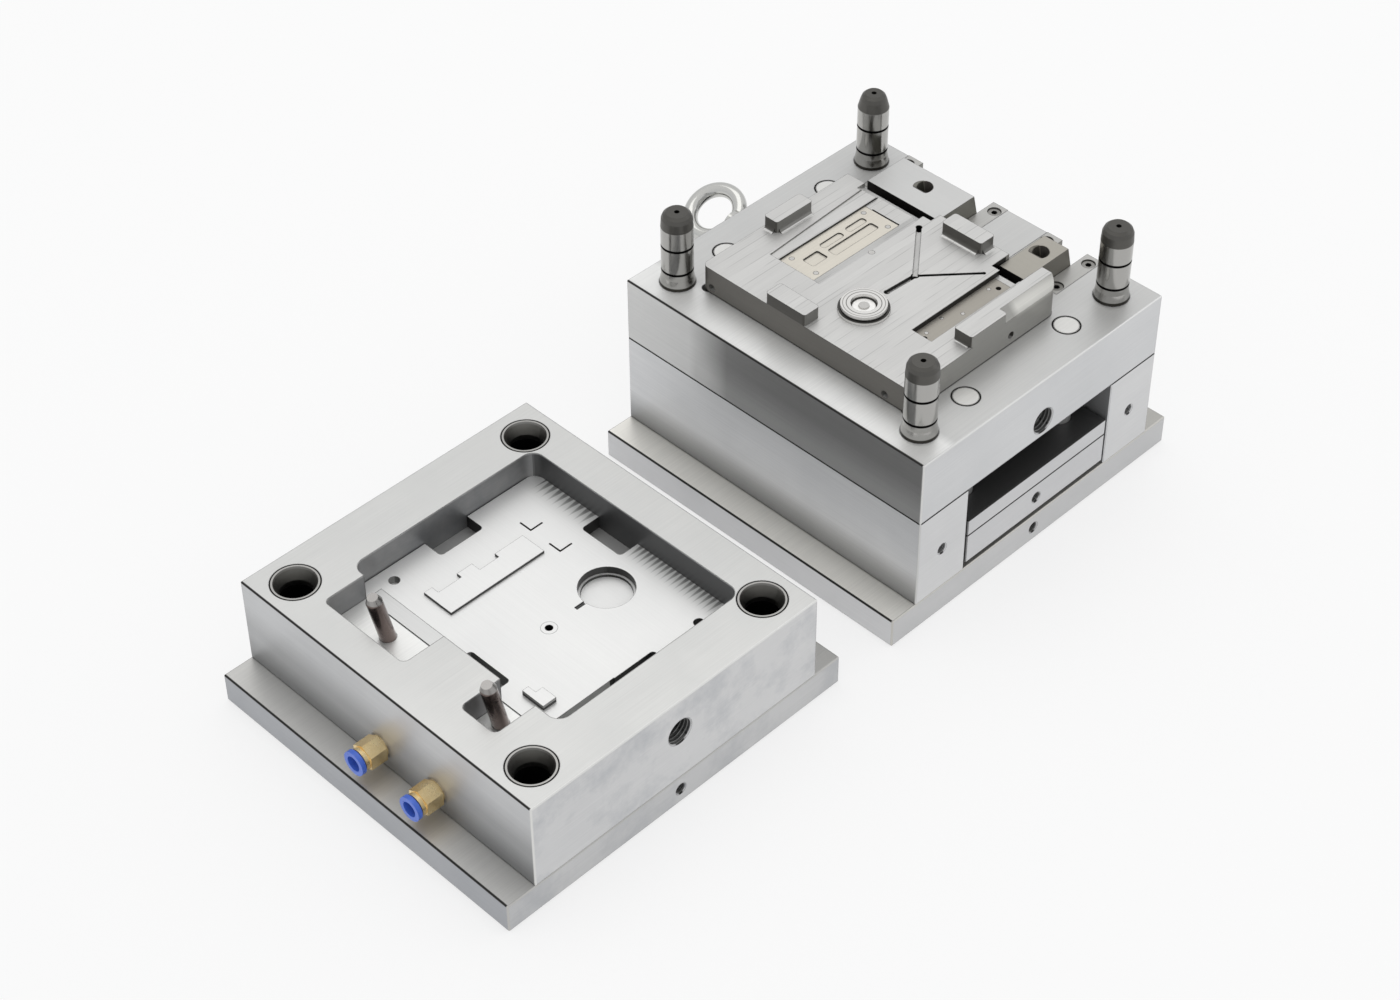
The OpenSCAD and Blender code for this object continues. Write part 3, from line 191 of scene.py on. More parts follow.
def grinding_marks():
    """Fine straight lines along each face, as a surface grinder leaves them."""
    t, given, out = shared_group(
        "grinding_marks", [("Along", 14.0), ("Across", 1500.0), ("Turn", 0.0)], ["Lines"])
    xyz = t.place()
    normal = t.add("ShaderNodeNewGeometry").outputs["True Normal"]
    sides = t.math("GREATER_THAN", t.math("ABSOLUTE", t.parts(normal)[0]), 0.6)
    tops = t.math("GREATER_THAN", t.math("ABSOLUTE", t.parts(normal)[2]), 0.6)
    along_y = t.math("MAXIMUM", sides, t.times(tops, given["Turn"]))
    fields = []
    for names in (("Along", "Across", "Across"), ("Across", "Along", "Across")):
        scale = t.add("ShaderNodeCombineXYZ")
        for socket, name in zip(scale.inputs, names):
            t.feed(socket, given[name])
        spread = t.add("ShaderNodeVectorMath", {"operation": "MULTIPLY"}, i0=xyz,
                       i1=scale.outputs[0])
        fields.append(t.noise(spread.outputs[0], 1.0, 2.0))
    t.feed(out["Lines"], t.choose(along_y, *fields))
    return t.tree


def handling_marks():
    """Broad soft clouds of oil film and wiping."""
    t, given, out = shared_group("handling_marks", [("Size", 9.0)], ["Clouds"])
    t.feed(out["Clouds"], t.remap(t.noise(t.place(), given["Size"], 4.0, 0.6), 0.3, 0.7))
    return t.tree


def edge_line():
    """Mask of a thin band along every sharp edge, for a painted dark reflection in the small broken
    edge there.
    """
    t, given, out = shared_group("edge_line", [("Width", 0.0006)], ["Mask"])
    soft = t.add("ShaderNodeBevel", {"samples": 6}, Radius=given["Width"]).outputs[0]
    hard = t.add("ShaderNodeNewGeometry").outputs["Normal"]
    dot = t.add("ShaderNodeVectorMath", {"operation": "DOT_PRODUCT"}, i0=soft, i1=hard)
    t.feed(out["Mask"], t.remap(dot.outputs["Value"], 0.995, 0.90))
    return t.tree


def cutter_marks():
    """Passes of a milling cutter along X, or Y with Turn, and a thin step line here and there."""
    t, given, out = shared_group("cutter_marks", [("Step", 0.006), ("Turn", 0.0)],
                                 ["Passes", "Steps"])
    x, y, _ = t.parts(t.place())
    across = t.choose(given["Turn"], y, x)
    along = t.choose(given["Turn"], x, y)
    row = t.math("DIVIDE", across, given["Step"])
    near = t.add("ShaderNodeTexVoronoi",
                 {"voronoi_dimensions": "1D", "feature": "DISTANCE_TO_EDGE"}, W=row, Scale=1.0)
    line = t.remap(near.outputs["Distance"], 0.05, 0.02)
    tone = t.add("ShaderNodeTexVoronoi", {"voronoi_dimensions": "1D", "feature": "F1"}, W=row,
                 Scale=1.0)
    spot = t.add("ShaderNodeCombineXYZ", X=t.times(along, 22.0), Y=t.times(row, 0.9))
    gaps = t.noise(spot.outputs[0], 1.0, 1.0)
    t.feed(out["Steps"], t.times(line, t.remap(gaps, 0.44, 0.56)))
    t.feed(out["Passes"], t.parts(tone.outputs["Color"])[0])
    return t.tree


def comb_marks():
    """Row of tapered dark teeth between Low and High in Y, from a wall out towards -X."""
    t, given, out = shared_group(
        "comb_marks", [("Wall", 0.0), ("Length", 0.014), ("Pitch", 0.006), ("Low", 0.0),
                       ("High", 1.0)], ["Mask"])
    x, y, _ = t.parts(t.place())
    reach = t.math("DIVIDE", t.math("SUBTRACT", given["Wall"], x), given["Length"])
    turn = t.math("FRACT", t.math("DIVIDE", y, given["Pitch"]))
    tooth = t.math("ABSOLUTE", t.math("SUBTRACT", turn, 0.5))
    left = t.times(t.math("SUBTRACT", 1.0, reach), 0.34)
    mask = t.remap(t.math("SUBTRACT", left, tooth), -0.05, 0.10)
    rows = t.times(t.math("GREATER_THAN", y, given["Low"]),
                   t.math("LESS_THAN", y, given["High"]))
    fade = t.remap(reach, 1.0, 0.1, 0.25, 1.0)
    t.feed(out["Mask"], t.times(mask, fade, rows))
    return t.tree


GROUPS = {build.__name__: build() for build in (facing, grinding_marks, handling_marks, edge_line,
                                                cutter_marks, comb_marks)}


def group(t, name, output, **inputs):
    """Node of a shared group: one of its outputs, or all of them where output is None."""
    node = t.add("ShaderNodeGroup", {"node_tree": GROUPS[name]})
    for key, value in inputs.items():
        t.feed(node.inputs[key], value)
    return node.outputs if output is None else node.outputs[output]


# Finishes

# DARK_LINE gives the seams between plates their dark line; it and the other line colours below also
# paint a dark reflection along sharp and broken edges.
DARK_LINE = (0.022, 0.021, 0.020, 1.0)
PIN_LINE = (0.03, 0.028, 0.026, 1.0)
SCREW_LINE = (0.12, 0.12, 0.115, 1.0)
BRASS_LINE = (0.24, 0.13, 0.04, 1.0)
COMB_DARK = (0.16, 0.16, 0.155, 1.0)
GRIND_TINT = (0.66, 0.66, 0.67, 1.0)
FILM_TINT = (0.66, 0.68, 0.71, 1.0)
BLOTCH_TINT = (0.55, 0.58, 0.63, 1.0)
OXIDE = (0.03, 0.03, 0.03)
STEEL_ROUGH = 0.40
OXIDE_ROUGH = 0.42
RIM = 0.0002


def new_material(name):
    mat = bpy.data.materials.new(name)
    mat.use_nodes = True
    mat.node_tree.nodes.clear()
    return mat, Tree(mat.node_tree)


def shade(rgb, k=1.0):
    return (rgb[0] * k, rgb[1] * k, rgb[2] * k, 1.0)


def finish_surface(t, color, roughness, metallic=1.0, height=None, depth=0.00003, **fixed):
    """Joins colour, roughness and height to the shader of a material."""
    shader = t.add("ShaderNodeBsdfPrincipled")
    t.feed(shader.inputs["Base Color"], color)
    t.feed(shader.inputs["Roughness"], roughness)
    t.feed(shader.inputs["Metallic"], metallic)
    for key, value in fixed.items():
        shader.inputs[key.replace("_", " ")].default_value = value
    if height is not None:
        bump = t.add("ShaderNodeBump", Strength=0.6, Distance=depth, Height=height)
        t.feed(shader.inputs["Normal"], bump.outputs[0])
    out = t.add("ShaderNodeOutputMaterial")
    t.feed(out.inputs["Surface"], shader.outputs[0])


def within(t, low, high, soft=0.0004):
    """Mask of the points inside a box. A side given as None is open."""
    mask = 1.0
    for value, a, b in zip(t.parts(t.place()), low, high):
        if a is not None:
            mask = t.times(mask, t.remap(value, a - soft, a + soft))
        if b is not None:
            mask = t.times(mask, t.remap(value, b + soft, b - soft))
    return mask


def steel(name, top, side, front, edge=0.85, width=0.0007, turn=0.0, clouds=0.2, fine=0.2,
          broken=1.0, lips=(), joints=(), step=None, combs=(), painted_patches=(), mottle=0.0):
    """Machined steel. Faces that look up, to the side and to the front have a tone each; the
    differences between these tones are painted light and shade.

    edge, width: how dark and how wide the painted dark reflection along sharp edges is.
    turn: 1 where the lines and passes on top run along Y.
    clouds, fine, mottle: how strong oil film, grinding lines and the bluish blotches on upright
    faces towards -Y and +Y are.
    broken: how dark the painted dark reflection on the broken edges is.
    lips: boxes of painted highlight along bright edges. Seam boxes: dark lines where plates meet,
    and painted dark reflection along top edges towards -X.
    step: the width of one pass of the milling cutter.
    combs: the inputs of each row of comb marks.
    The patches of painted light and shade: boxes with a tone each, as the patch function below
    gives them.
    """
    mat, t = new_material(name)
    look = group(t, "facing", None)
    lines = group(t, "grinding_marks", "Lines", Turn=turn)
    film = group(t, "handling_marks", "Clouds")
    edges = group(t, "edge_line", "Mask", Width=width)
    # Tones by way of facing; their differences are painted light and shade.
    walls = t.mix(look["Side"], shade(front), shade(side))
    base = t.mix(look["Flat"], walls, shade(top))
    upright = t.math("SUBTRACT", 1.0, look["Flat"])
    faces = {"all": 1.0, "flat": look["Flat"], "walls": upright,
             "side": t.times(upright, look["Side"]),
             "front": t.times(upright, t.math("SUBTRACT", 1.0, look["Side"]))}
    height = lines
    if step:
        passes = group(t, "cutter_marks", None, Step=step, Turn=turn)
        base = t.mix(t.times(passes["Passes"], look["Flat"], 0.22), base, shade(top, 0.72))
        base = t.mix(t.times(passes["Steps"], look["Flat"], 0.35), base, shade(top, 0.2))
        height = t.math("ADD", lines, passes["Passes"])
    base = t.tint(t.remap(lines, 0.3, 0.7, 0.0, fine), base, GRIND_TINT)
    base = t.tint(t.times(film, clouds), base, FILM_TINT)
    if mottle:
        front_blotches = t.remap(t.noise(t.place(), 19.0, 6.0, 0.66), 0.46, 0.66)
        base = t.tint(t.times(front_blotches, t.times(faces["front"], mottle)), base, BLOTCH_TINT)
    # Patches of painted light and shade.
    for box, tone, where, soft in painted_patches:
        base = t.tint(t.times(within(t, *box, soft), faces[where]), base, shade((tone,) * 3))
    for row in combs:
        teeth = t.times(group(t, "comb_marks", "Mask", **row), look["Flat"])
        base = t.mix(t.times(teeth, 0.8), base, COMB_DARK)
    # Painted dark reflection on the broken edges and along sharp edges.
    base = t.mix(t.times(look["Edge"], broken), base, DARK_LINE)
    base = t.mix(t.times(edges, edge), base, DARK_LINE)
    # Dark lines at seams, and painted dark reflection along top edges towards -X.
    for dark_band in joints:
        base = t.mix(within(t, *dark_band, 0.0003), base, DARK_LINE)
    # Painted highlights along the bright lips and corners.
    for lip in lips:
        base = t.mix(within(t, *lip), base, shade(top, 1.1))
    dull = t.remap(film, 0.0, 1.0, STEEL_ROUGH - 0.04, STEEL_ROUGH + 0.06)
    finish_surface(t, base, dull, metallic=0.65, height=height)
    return mat


def round_steel(name, rgb, rough, metal=1.0, bands=(), rings=(), edge=0.7):
    """Turned and polished steel.

    Each band is a level from, a level to, a tone and how much duller it is.
    Each ring is the place of its axis, a radius from, a radius to and a tone.
    Most of these tones are painted shade and painted highlights.
    """
    mat, t = new_material(name)
    x, y, z = t.parts(t.place())
    noise = t.add("ShaderNodeTexNoise", {"noise_dimensions": "1D"}, W=t.times(z, 5000.0),
                  Scale=1.0, Detail=2.0).outputs[0]
    clouds = group(t, "handling_marks", "Clouds", Size=40.0)
    edges = group(t, "edge_line", "Mask", Width=0.0004)
    base = t.mix(t.remap(noise, 0.3, 0.7, 0.0, 0.22), shade(rgb), shade(rgb, 0.7))
    base = t.mix(t.times(clouds, 0.16), base, shade(rgb, 1.15))
    dull = t.remap(clouds, 0.0, 1.0, rough - 0.03, rough + 0.06)
    # Bands and rings of painted shade and painted highlight.
    for low, high, tone, more in bands:
        inside = within(t, (None, None, low), (None, None, high), RIM)
        base = t.mix(inside, base, shade(tone))
        dull = t.math("ADD", dull, t.times(inside, more))
    for (axis_x, axis_y), low, high, tone in rings:
        out_x, out_y = t.math("SUBTRACT", x, axis_x), t.math("SUBTRACT", y, axis_y)
        radius = t.math("SQRT", t.math("ADD", t.times(out_x, out_x), t.times(out_y, out_y)))
        inside = t.times(t.remap(radius, low - RIM, low + RIM),
                         t.remap(radius, high + RIM, high - RIM))
        base = t.mix(inside, base, shade(tone))
    # Painted dark reflection along sharp edges.
    base = t.mix(t.times(edges, edge), base, PIN_LINE)
    finish_surface(t, base, dull, metallic=metal, height=noise, depth=0.00001)
    return mat


def dark_oxide(name, top_tone=None, top_from=None):
    """Blackened screws, with flat faces above a level in another tone."""
    mat, t = new_material(name)
    clouds = group(t, "handling_marks", "Clouds", Size=120.0)
    edges = group(t, "edge_line", "Mask", Width=0.0003)
    base = t.mix(t.times(clouds, 0.5), shade(OXIDE), shade(OXIDE, 2.0))
    if top_tone:
        above = within(t, (None, None, top_from), (None, None, None), 0.0001)
        base = t.mix(t.times(above, group(t, "facing", "Flat")), base, shade(top_tone))
    # Painted dark reflection along sharp edges.
    base = t.mix(t.times(edges, 0.4), base, SCREW_LINE)
    dull = t.remap(clouds, 0.0, 1.0, OXIDE_ROUGH - 0.08, OXIDE_ROUGH + 0.08)
    finish_surface(t, base, dull, metallic=0.9)
    return mat


def brown_oxide(name, tip_from):
    """Bronze brown angle pins with bare grey tips above a level."""
    mat, t = new_material(name)
    z = t.parts(t.place())[2]
    clouds = group(t, "handling_marks", "Clouds", Size=30.0)
    base = t.mix(clouds, (0.145, 0.110, 0.100, 1.0), (0.19, 0.148, 0.135, 1.0))
    tip = t.remap(z, tip_from - 0.0004, tip_from + 0.0004)
    base = t.mix(tip, base, (0.33, 0.32, 0.31, 1.0))
    finish_surface(t, base, t.remap(clouds, 0.0, 1.0, 0.20, 0.30), Coat_Weight=0.3)
    return mat


def turned_brass(name):
    """Turned brass with slight tarnish."""
    mat, t = new_material(name)
    clouds = group(t, "handling_marks", "Clouds", Size=90.0)
    edges = group(t, "edge_line", "Mask", Width=0.0003)
    base = t.mix(clouds, (0.84, 0.62, 0.30, 1.0), (0.93, 0.76, 0.44, 1.0))
    # Painted dark reflection along sharp edges.
    base = t.mix(t.times(edges, 0.7), base, BRASS_LINE)
    finish_surface(t, base, t.remap(clouds, 0.0, 1.0, 0.20, 0.30), metallic=0.85)
    return mat


def blue_plastic(name):
    """Moulded blue release rings."""
    mat, t = new_material(name)
    clouds = group(t, "handling_marks", "Clouds", Size=150.0)
    base = t.mix(clouds, (0.050, 0.125, 0.57, 1.0), (0.080, 0.18, 0.70, 1.0))
    fine = t.noise(t.place(), 2500.0, 2.0)
    finish_surface(t, base, t.remap(clouds, 0.0, 1.0, 0.26, 0.34), metallic=0.0, height=fine,
                   depth=0.00001)
    return mat


# Boxes and patches of painted light and shade that the finishes take

def painted_patch(box, tone, where, soft=0.0004):
    """Painted light and shade in a box: a factor, above 1 for painted light and below 1 for painted
    shade, the faces that take it and how soft its rim is.
    """
    return box, tone, where, soft


def tapped_hole(x, front_y, z, room):
    """Painted shade inside a tapped hole in the face towards -Y."""
    box = (x - room, front_y + 0.0012, z - room), (x + room, front_y + 0.060, z + room)
    return painted_patch(box, 0.3, "all", 0.0003)


def lip_at(front_y, level):
    """The broken edge between the top of a plate and its face towards -Y, with a painted highlight.
    """
    return (None, None, level - 0.0012), (None, front_y + 0.0012, level + 0.001)


def left_edge_at(left_x, level):
    """The broken edge between the top of a plate and its face towards -X, darkened as a painted
    dark reflection.
    """
    return (None, None, level - 0.0011), (left_x + 0.0013, None, None)


def corner_at(left_x, front_y):
    """The upright corner between the faces towards -X and -Y, with a painted highlight."""
    return (None, None, None), (left_x + 0.0012, front_y + 0.0012, None)


def seam_at(level):
    """The dark line at a level where two plates meet, on both sides of it."""
    return (None, None, level - 0.0006), (None, None, level + 0.0006)


def plate_edges(left_x, front_y, level, *seams):
    """What steel() takes for the edges of a plate with its top at a level."""
    return {"width": 0.0013, "lips": (lip_at(front_y, level), corner_at(left_x, front_y)),
            "joints": (left_edge_at(left_x, level), *(seam_at(seam) for seam in seams))}


# The room of the ejector plates, darkened with painted shade; the stretches of the core half's
# outside that take painted shade and painted light;
# and the heels of the slides, lightened out of the painted shade of their sides
BOX_ROOM = ((-0.0819, None, 0.026), (0.0819, None, 0.1051))
CORE_SIDE = ((None, None, None), (-0.120, 0.084, None))
CORE_SIDE_LOW = ((None, None, None), (-0.120, 0.084, 0.128))
CORE_STRIP = ((-0.1348, None, 0.160), (-0.103, None, None))
CORE_LEDGE = ((-0.160, None, 0.024), (-0.1352, None, 0.026))
SPACER_FOOT = ((None, None, None), (-0.120, None, 0.040))
SLIDE_BACK = ((0.086, None, None), (None, None, None))

# The core insert: walls of its recesses, of its bosses and of its shoulder, and its foot, darkened
# with painted shade; the slope of its shoulder takes a painted highlight
PANEL_WALLS = ((-0.058, 0.048, 0.150), (0.066, 0.092, 0.1832))
BAR_WALLS = ((-0.052, -0.062, 0.150), (0.066, -0.037, 0.1832))
RUNNER_WALLS = ((-0.034, -0.036, 0.150), (0.066, 0.047, 0.1832))
BOSS_WALLS = ((None, -0.070, 0.1838), (None, None, 0.1936))
SHOULDER_END = ((None, None, 0.1838), (0.004, -0.060, 0.1936))
SHOULDER_SLOPE = ((0.016, None, 0.1850), (None, -0.070, 0.1936))
INSERT_FOOT = ((None, None, 0.1605), (None, None, 0.1618))
ROUND_AT = (-0.056, 0.0005)

# The cavity half: its outside, its pocket, and the recesses and raised steps of its insert, where
# painted shade and painted light go
CAVITY_LEDGE = ((CAVITY_X - 0.160, None, 0.024), (CAVITY_X - 0.1352, None, 0.026))
CAVITY_SIDE = ((None, None, None), (CAVITY_X - 0.130, None, 0.070))
CAVITY_FOOT = ((None, None, None), (CAVITY_X - 0.130, None, 0.040))
POCKET = ((CAVITY_X - 0.118, CAVITY_Y - 0.112, 0.026),
          (CAVITY_X + 0.112, CAVITY_Y + 0.112, Z_FACE - 0.0008))
HEEL_FLOOR = ((CAVITY_X - 0.118, None, 0.026), (CAVITY_X + 0.112, None, Z_FLOOR + 0.001))
RECESS = ((CAVITY_X - 0.0055, None, 0.060), (None, None, Z_FLOOR - 0.0001))
FRONT_NOTCH = ((None, None, 0.060), (CAVITY_X - 0.0055, -0.055, Z_FLOOR - 0.0001))
NOTCH_FLOOR = ((None, None, 0.060), (None, None, 0.0690))
SHALLOW_CUTS = ((None, None, 0.0755), (None, None, 0.0765))
RAISED_STEPS = ((None, None, Z_FLOOR + 0.0001), (None, None, 0.0794))
COMB_REAR = {"Wall": CAVITY_X + 0.1015, "Length": 0.015, "Pitch": 0.0058, "Low": 0.0635,
             "High": 0.1186}
COMB_FRONT = {"Wall": CAVITY_X + 0.1015, "Length": 0.015, "Pitch": 0.0047, "Low": -0.066,
              "High": 0.019}

# Bands of the pins and bushes by level, and rings of the round core by radius: painted shade in the
# guide pins' grooves, at their foot, deep in the bushes and on the round core;
# painted highlights on the bushes' top ring and the round core's bright ring; and a darker cap on
# the guide pins
ROUND_BANDS = ((0.1856, 0.1870, (0.06, 0.058, 0.054), 0.1),)
ROUND_RINGS = ((ROUND_AT, 0.0128, 0.0134, (0.10, 0.098, 0.092)),
               (ROUND_AT, 0.0155, 0.0160, (0.2, 0.196, 0.186)),
               (ROUND_AT, 0.0016, 0.0086, (0.95, 0.94, 0.92)))
GROOVE = (0.02, 0.02, 0.02)
GUIDE_PIN_BANDS = ((0.2135, None, (0.105, 0.102, 0.095), 0.2), (0.1959, 0.1981, GROOVE, 0.1),
                   (0.1739, 0.1761, GROOVE, 0.1), (0.1600, 0.1632, (0.045, 0.043, 0.038), 0.1))
BUSH_BANDS = ((0.0985, None, (0.40, 0.395, 0.38), 0.05),
              (None, 0.0860, (0.015, 0.015, 0.015), 0.2))


def dress(material, *names):
    for name in names:
        data = nodes[name].data
        data.materials.clear()
        data.materials.append(material)


# Plates of both halves. Their tones by way of facing, the dark room of the ejector plates, the
# darker and lighter stretches of their sides and ledges, the dark pocket walls and the dark insides
# of the tapped holes are painted light and shade

dress(steel("core_clamp_steel", (0.50, 0.49, 0.46), (0.67, 0.67, 0.675), (0.60, 0.60, 0.60),
            **plate_edges(CLAMP_LEFT_1, FRONT_1, Z_CLAMP),
            painted_patches=(tapped_hole(0.0, FRONT_1, Z_CLAMP_HOLE, M10_ROOM),
                   painted_patch(BOX_ROOM, 0.2, "all"), painted_patch(CORE_LEDGE, 1.8, "flat"))),
      "core_clamp_plate")
dress(steel("cavity_clamp_steel", (0.46, 0.455, 0.44), (0.42, 0.43, 0.45), (0.60, 0.60, 0.60),
            **plate_edges(CLAMP_LEFT_2, FRONT_2, Z_CLAMP), mottle=0.35,
            painted_patches=(tapped_hole(CAVITY_X, FRONT_2, Z_CLAMP_HOLE, M10_ROOM),
                   painted_patch(CAVITY_LEDGE, 1.35, "flat"))),
      "cavity_clamp_plate")
dress(steel("core_plate_steel", (0.62, 0.62, 0.61), (0.66, 0.66, 0.65), (0.66, 0.665, 0.67),
            **plate_edges(PLATE_LEFT_1, FRONT_1, Z_PART, Z_BOX),
            painted_patches=(tapped_hole(0.0, FRONT_1, Z_CORE_LIFT, M24_ROOM), painted_patch(BOX_ROOM, 0.15, "all"),
                   painted_patch(CORE_SIDE, 0.27, "side", 0.020), painted_patch(CORE_SIDE_LOW, 1.5, "side", 0.012),
                   painted_patch(CORE_STRIP, 1.6, "flat", 0.004))),
      "core_plate")
dress(steel("cavity_plate_steel", (0.66, 0.66, 0.645), (0.60, 0.605, 0.61), (0.68, 0.68, 0.68),
            **plate_edges(PLATE_LEFT_2, FRONT_2, Z_FACE, Z_CLAMP), mottle=0.5,
            painted_patches=(tapped_hole(CAVITY_X, FRONT_2, Z_CAVITY_LIFT, M24_ROOM),
                   painted_patch(POCKET, 0.14, "side"), painted_patch(POCKET, 0.40, "front"),
                   painted_patch(HEEL_FLOOR, 1.4, "flat"), painted_patch(CAVITY_SIDE, 0.64, "side", 0.012),
                   painted_patch(CAVITY_FOOT, 0.45, "side", 0.010))),
      "cavity_plate")
dress(steel("spacer_steel", (0.54, 0.54, 0.535), (0.70, 0.705, 0.71), (0.70, 0.70, 0.70),
            lips=(corner_at(PLATE_LEFT_1, FRONT_1),), joints=(seam_at(Z_BOX), seam_at(Z_CLAMP)),
            painted_patches=(painted_patch(BOX_ROOM, 0.15, "all"), painted_patch(SPACER_FOOT, 0.34, "side", 0.014))),
      "spacer_block_left", "spacer_block_right")
# The ejector plates sit deep in the box: their dark top and sides are painted shade.
dress(steel("ejector_plate_steel", (0.10, 0.10, 0.10), (0.20, 0.20, 0.20), (0.64, 0.64, 0.645)),
      "ejector_plate", "ejector_retainer_plate")

# Inserts. Their dark walls, recesses, notches and shallow cuts are painted shade, and the bright
# stretches on the core insert's shoulder and on the cavity insert's front notch are painted light

dress(steel("core_insert_steel", (0.66, 0.655, 0.64), (0.155, 0.148, 0.135),
            (0.33, 0.325, 0.305), step=0.0075, broken=0.0,
            painted_patches=(painted_patch(PANEL_WALLS, 0.05, "walls", 0.0002), painted_patch(BAR_WALLS, 0.05, "walls", 0.0002),
                   painted_patch(RUNNER_WALLS, 0.05, "walls", 0.0002),
                   painted_patch(BOSS_WALLS, 0.6, "walls", 0.0002),
                   painted_patch(SHOULDER_END, 0.6, "side", 0.0002),
                   painted_patch(SHOULDER_SLOPE, 1.9, "front", 0.0035), painted_patch(INSERT_FOOT, 0.2, "walls"))),
      "core_insert")
dress(steel("cavity_insert_steel", (0.82, 0.82, 0.81), (0.18, 0.18, 0.175), (0.42, 0.42, 0.41),
            turn=1.0, clouds=0.12, fine=0.1, broken=0.6, combs=(COMB_REAR, COMB_FRONT),
            painted_patches=(painted_patch(RECESS, 0.15, "walls", 0.0001), painted_patch(NOTCH_FLOOR, 0.55, "flat"),
                   painted_patch(FRONT_NOTCH, 2.0, "front", 0.0001),
                   painted_patch(SHALLOW_CUTS, 0.06, "flat", 0.0001),
                   painted_patch(RAISED_STEPS, 0.15, "walls", 0.0001))),
      "cavity_insert")
dress(steel("cavity_bar_steel", (0.74, 0.74, 0.73), (0.3, 0.3, 0.3), (0.4, 0.4, 0.4), turn=1.0),
      "cavity_side_bar")
dress(steel("panel_insert_steel", (0.72, 0.68, 0.60), (0.04, 0.037, 0.032),
            (0.04, 0.037, 0.032), width=0.0010, broken=0.0),
      "panel_insert")
dress(steel("bar_insert_steel", (0.42, 0.395, 0.35), (0.04, 0.037, 0.032), (0.04, 0.037, 0.032),
            broken=0.0),
      "bar_insert")
dress(round_steel("round_core_steel", (0.74, 0.73, 0.71), 0.2, metal=0.6, edge=0.85,
                  bands=ROUND_BANDS, rings=ROUND_RINGS),
      "round_core")

# Pins and bushes. The black inside of the sprue bush is painted shade

dress(round_steel("guide_pin_steel", (0.40, 0.395, 0.38), 0.16, bands=GUIDE_PIN_BANDS),
      "guide_pins", "guide_pin_conical")
dress(steel("return_pin_steel", (0.78, 0.775, 0.75), (0.5, 0.5, 0.49), (0.5, 0.5, 0.49),
            width=0.0020, broken=0.0, edge=0.97),
      "return_pins")
dress(steel("sprue_bush_steel", (0.82, 0.82, 0.81), (0.02, 0.02, 0.02), (0.02, 0.02, 0.02),
            edge=0.35, fine=0.1, broken=0.0),
      "sprue_bush")
dress(round_steel("ejector_pin_steel", (0.62, 0.61, 0.59), 0.24),
      "panel_ejector_pins", "bar_ejector_pins", "round_ejector_pin", "web_ejector_pin",
      "sprue_puller")
dress(round_steel("bush_steel", (0.30, 0.295, 0.28), 0.32, bands=BUSH_BANDS), "guide_bushes")
dress(brown_oxide("angle_pin_oxide", 0.1178), "angle_pin_1", "angle_pin_2")

# Slides with their gibs, screws and small parts. The black sides of the slides and the darker sides
# of the gibs are painted shade

dress(steel("gib_steel", (0.52, 0.515, 0.495), (0.2, 0.195, 0.18), (0.25, 0.245, 0.225),
            broken=0.0),
      "gib_slide_1_front", "gib_slide_1_rear", "gib_slide_2_front", "gib_slide_2_rear")
dress(steel("slide_1_steel", (0.63, 0.63, 0.62), (0.03, 0.028, 0.026), (0.20, 0.195, 0.17),
            turn=1.0, fine=0.08, broken=0.0, painted_patches=(painted_patch(SLIDE_BACK, 9.0, "side", 0.002),)),
      "slide_1")
dress(steel("slide_2_steel", (0.42, 0.40, 0.355), (0.03, 0.028, 0.026), (0.20, 0.19, 0.165),
            turn=1.0, fine=0.08, broken=0.0, painted_patches=(painted_patch(SLIDE_BACK, 9.0, "side", 0.002),)),
      "slide_2")
dress(dark_oxide("gib_screw_oxide", (0.30, 0.295, 0.28), 0.1595), "gib_screws")
dress(dark_oxide("screw_oxide"), "slide_stops", "slide_stop_screws", "core_plate_screws",
      "core_insert_screws", "ejector_plate_screws", "cavity_plate_screws",
      "cavity_insert_screws", "stop_buttons")
dress(round_steel("eye_bolt_zinc", (0.56, 0.56, 0.54), 0.14), "lifting_eye_bolt")
dress(turned_brass("fitting_brass"), "fitting_body_1", "fitting_body_2")
dress(blue_plastic("release_ring_blue"), "release_ring_1", "release_ring_2")


# Threads in the tapped holes, as rings that stand out of the wall of each hole

# Each size is a count of turns, a pitch, the radius of the bore and the radius of the ring's wire
M10 = (9, 0.0015, 0.00425, 0.00035)
M24 = (8, 0.0030, 0.01040, 0.0007)
# Each hole is its place, the way in along Y and its size
HOLES = {
    "core_half": [((0, FRONT_1, Z_CORE_LIFT), 1, M24), ((0, FRONT_1, Z_CLAMP_HOLE), 1, M10),
                  ((-SPACER_HOLE_X, FRONT_1, Z_SPACER_HOLE), 1, M10),
                  ((SPACER_HOLE_X, FRONT_1, Z_SPACER_HOLE), 1, M10)],
    "ejector_set": [((0, FRONT_1, Z_EJECTOR_HOLE), 1, M10)],
    "cavity_half": [((CAVITY_X, FRONT_2, Z_CAVITY_LIFT), 1, M24),
                    ((CAVITY_X, REAR_2, Z_CAVITY_LIFT), -1, M24),
                    ((CAVITY_X, FRONT_2, Z_CLAMP_HOLE), 1, M10)],
}
RING_CORNERS, WIRE_CORNERS = 40, 6
FIRST_TURN = 1.2


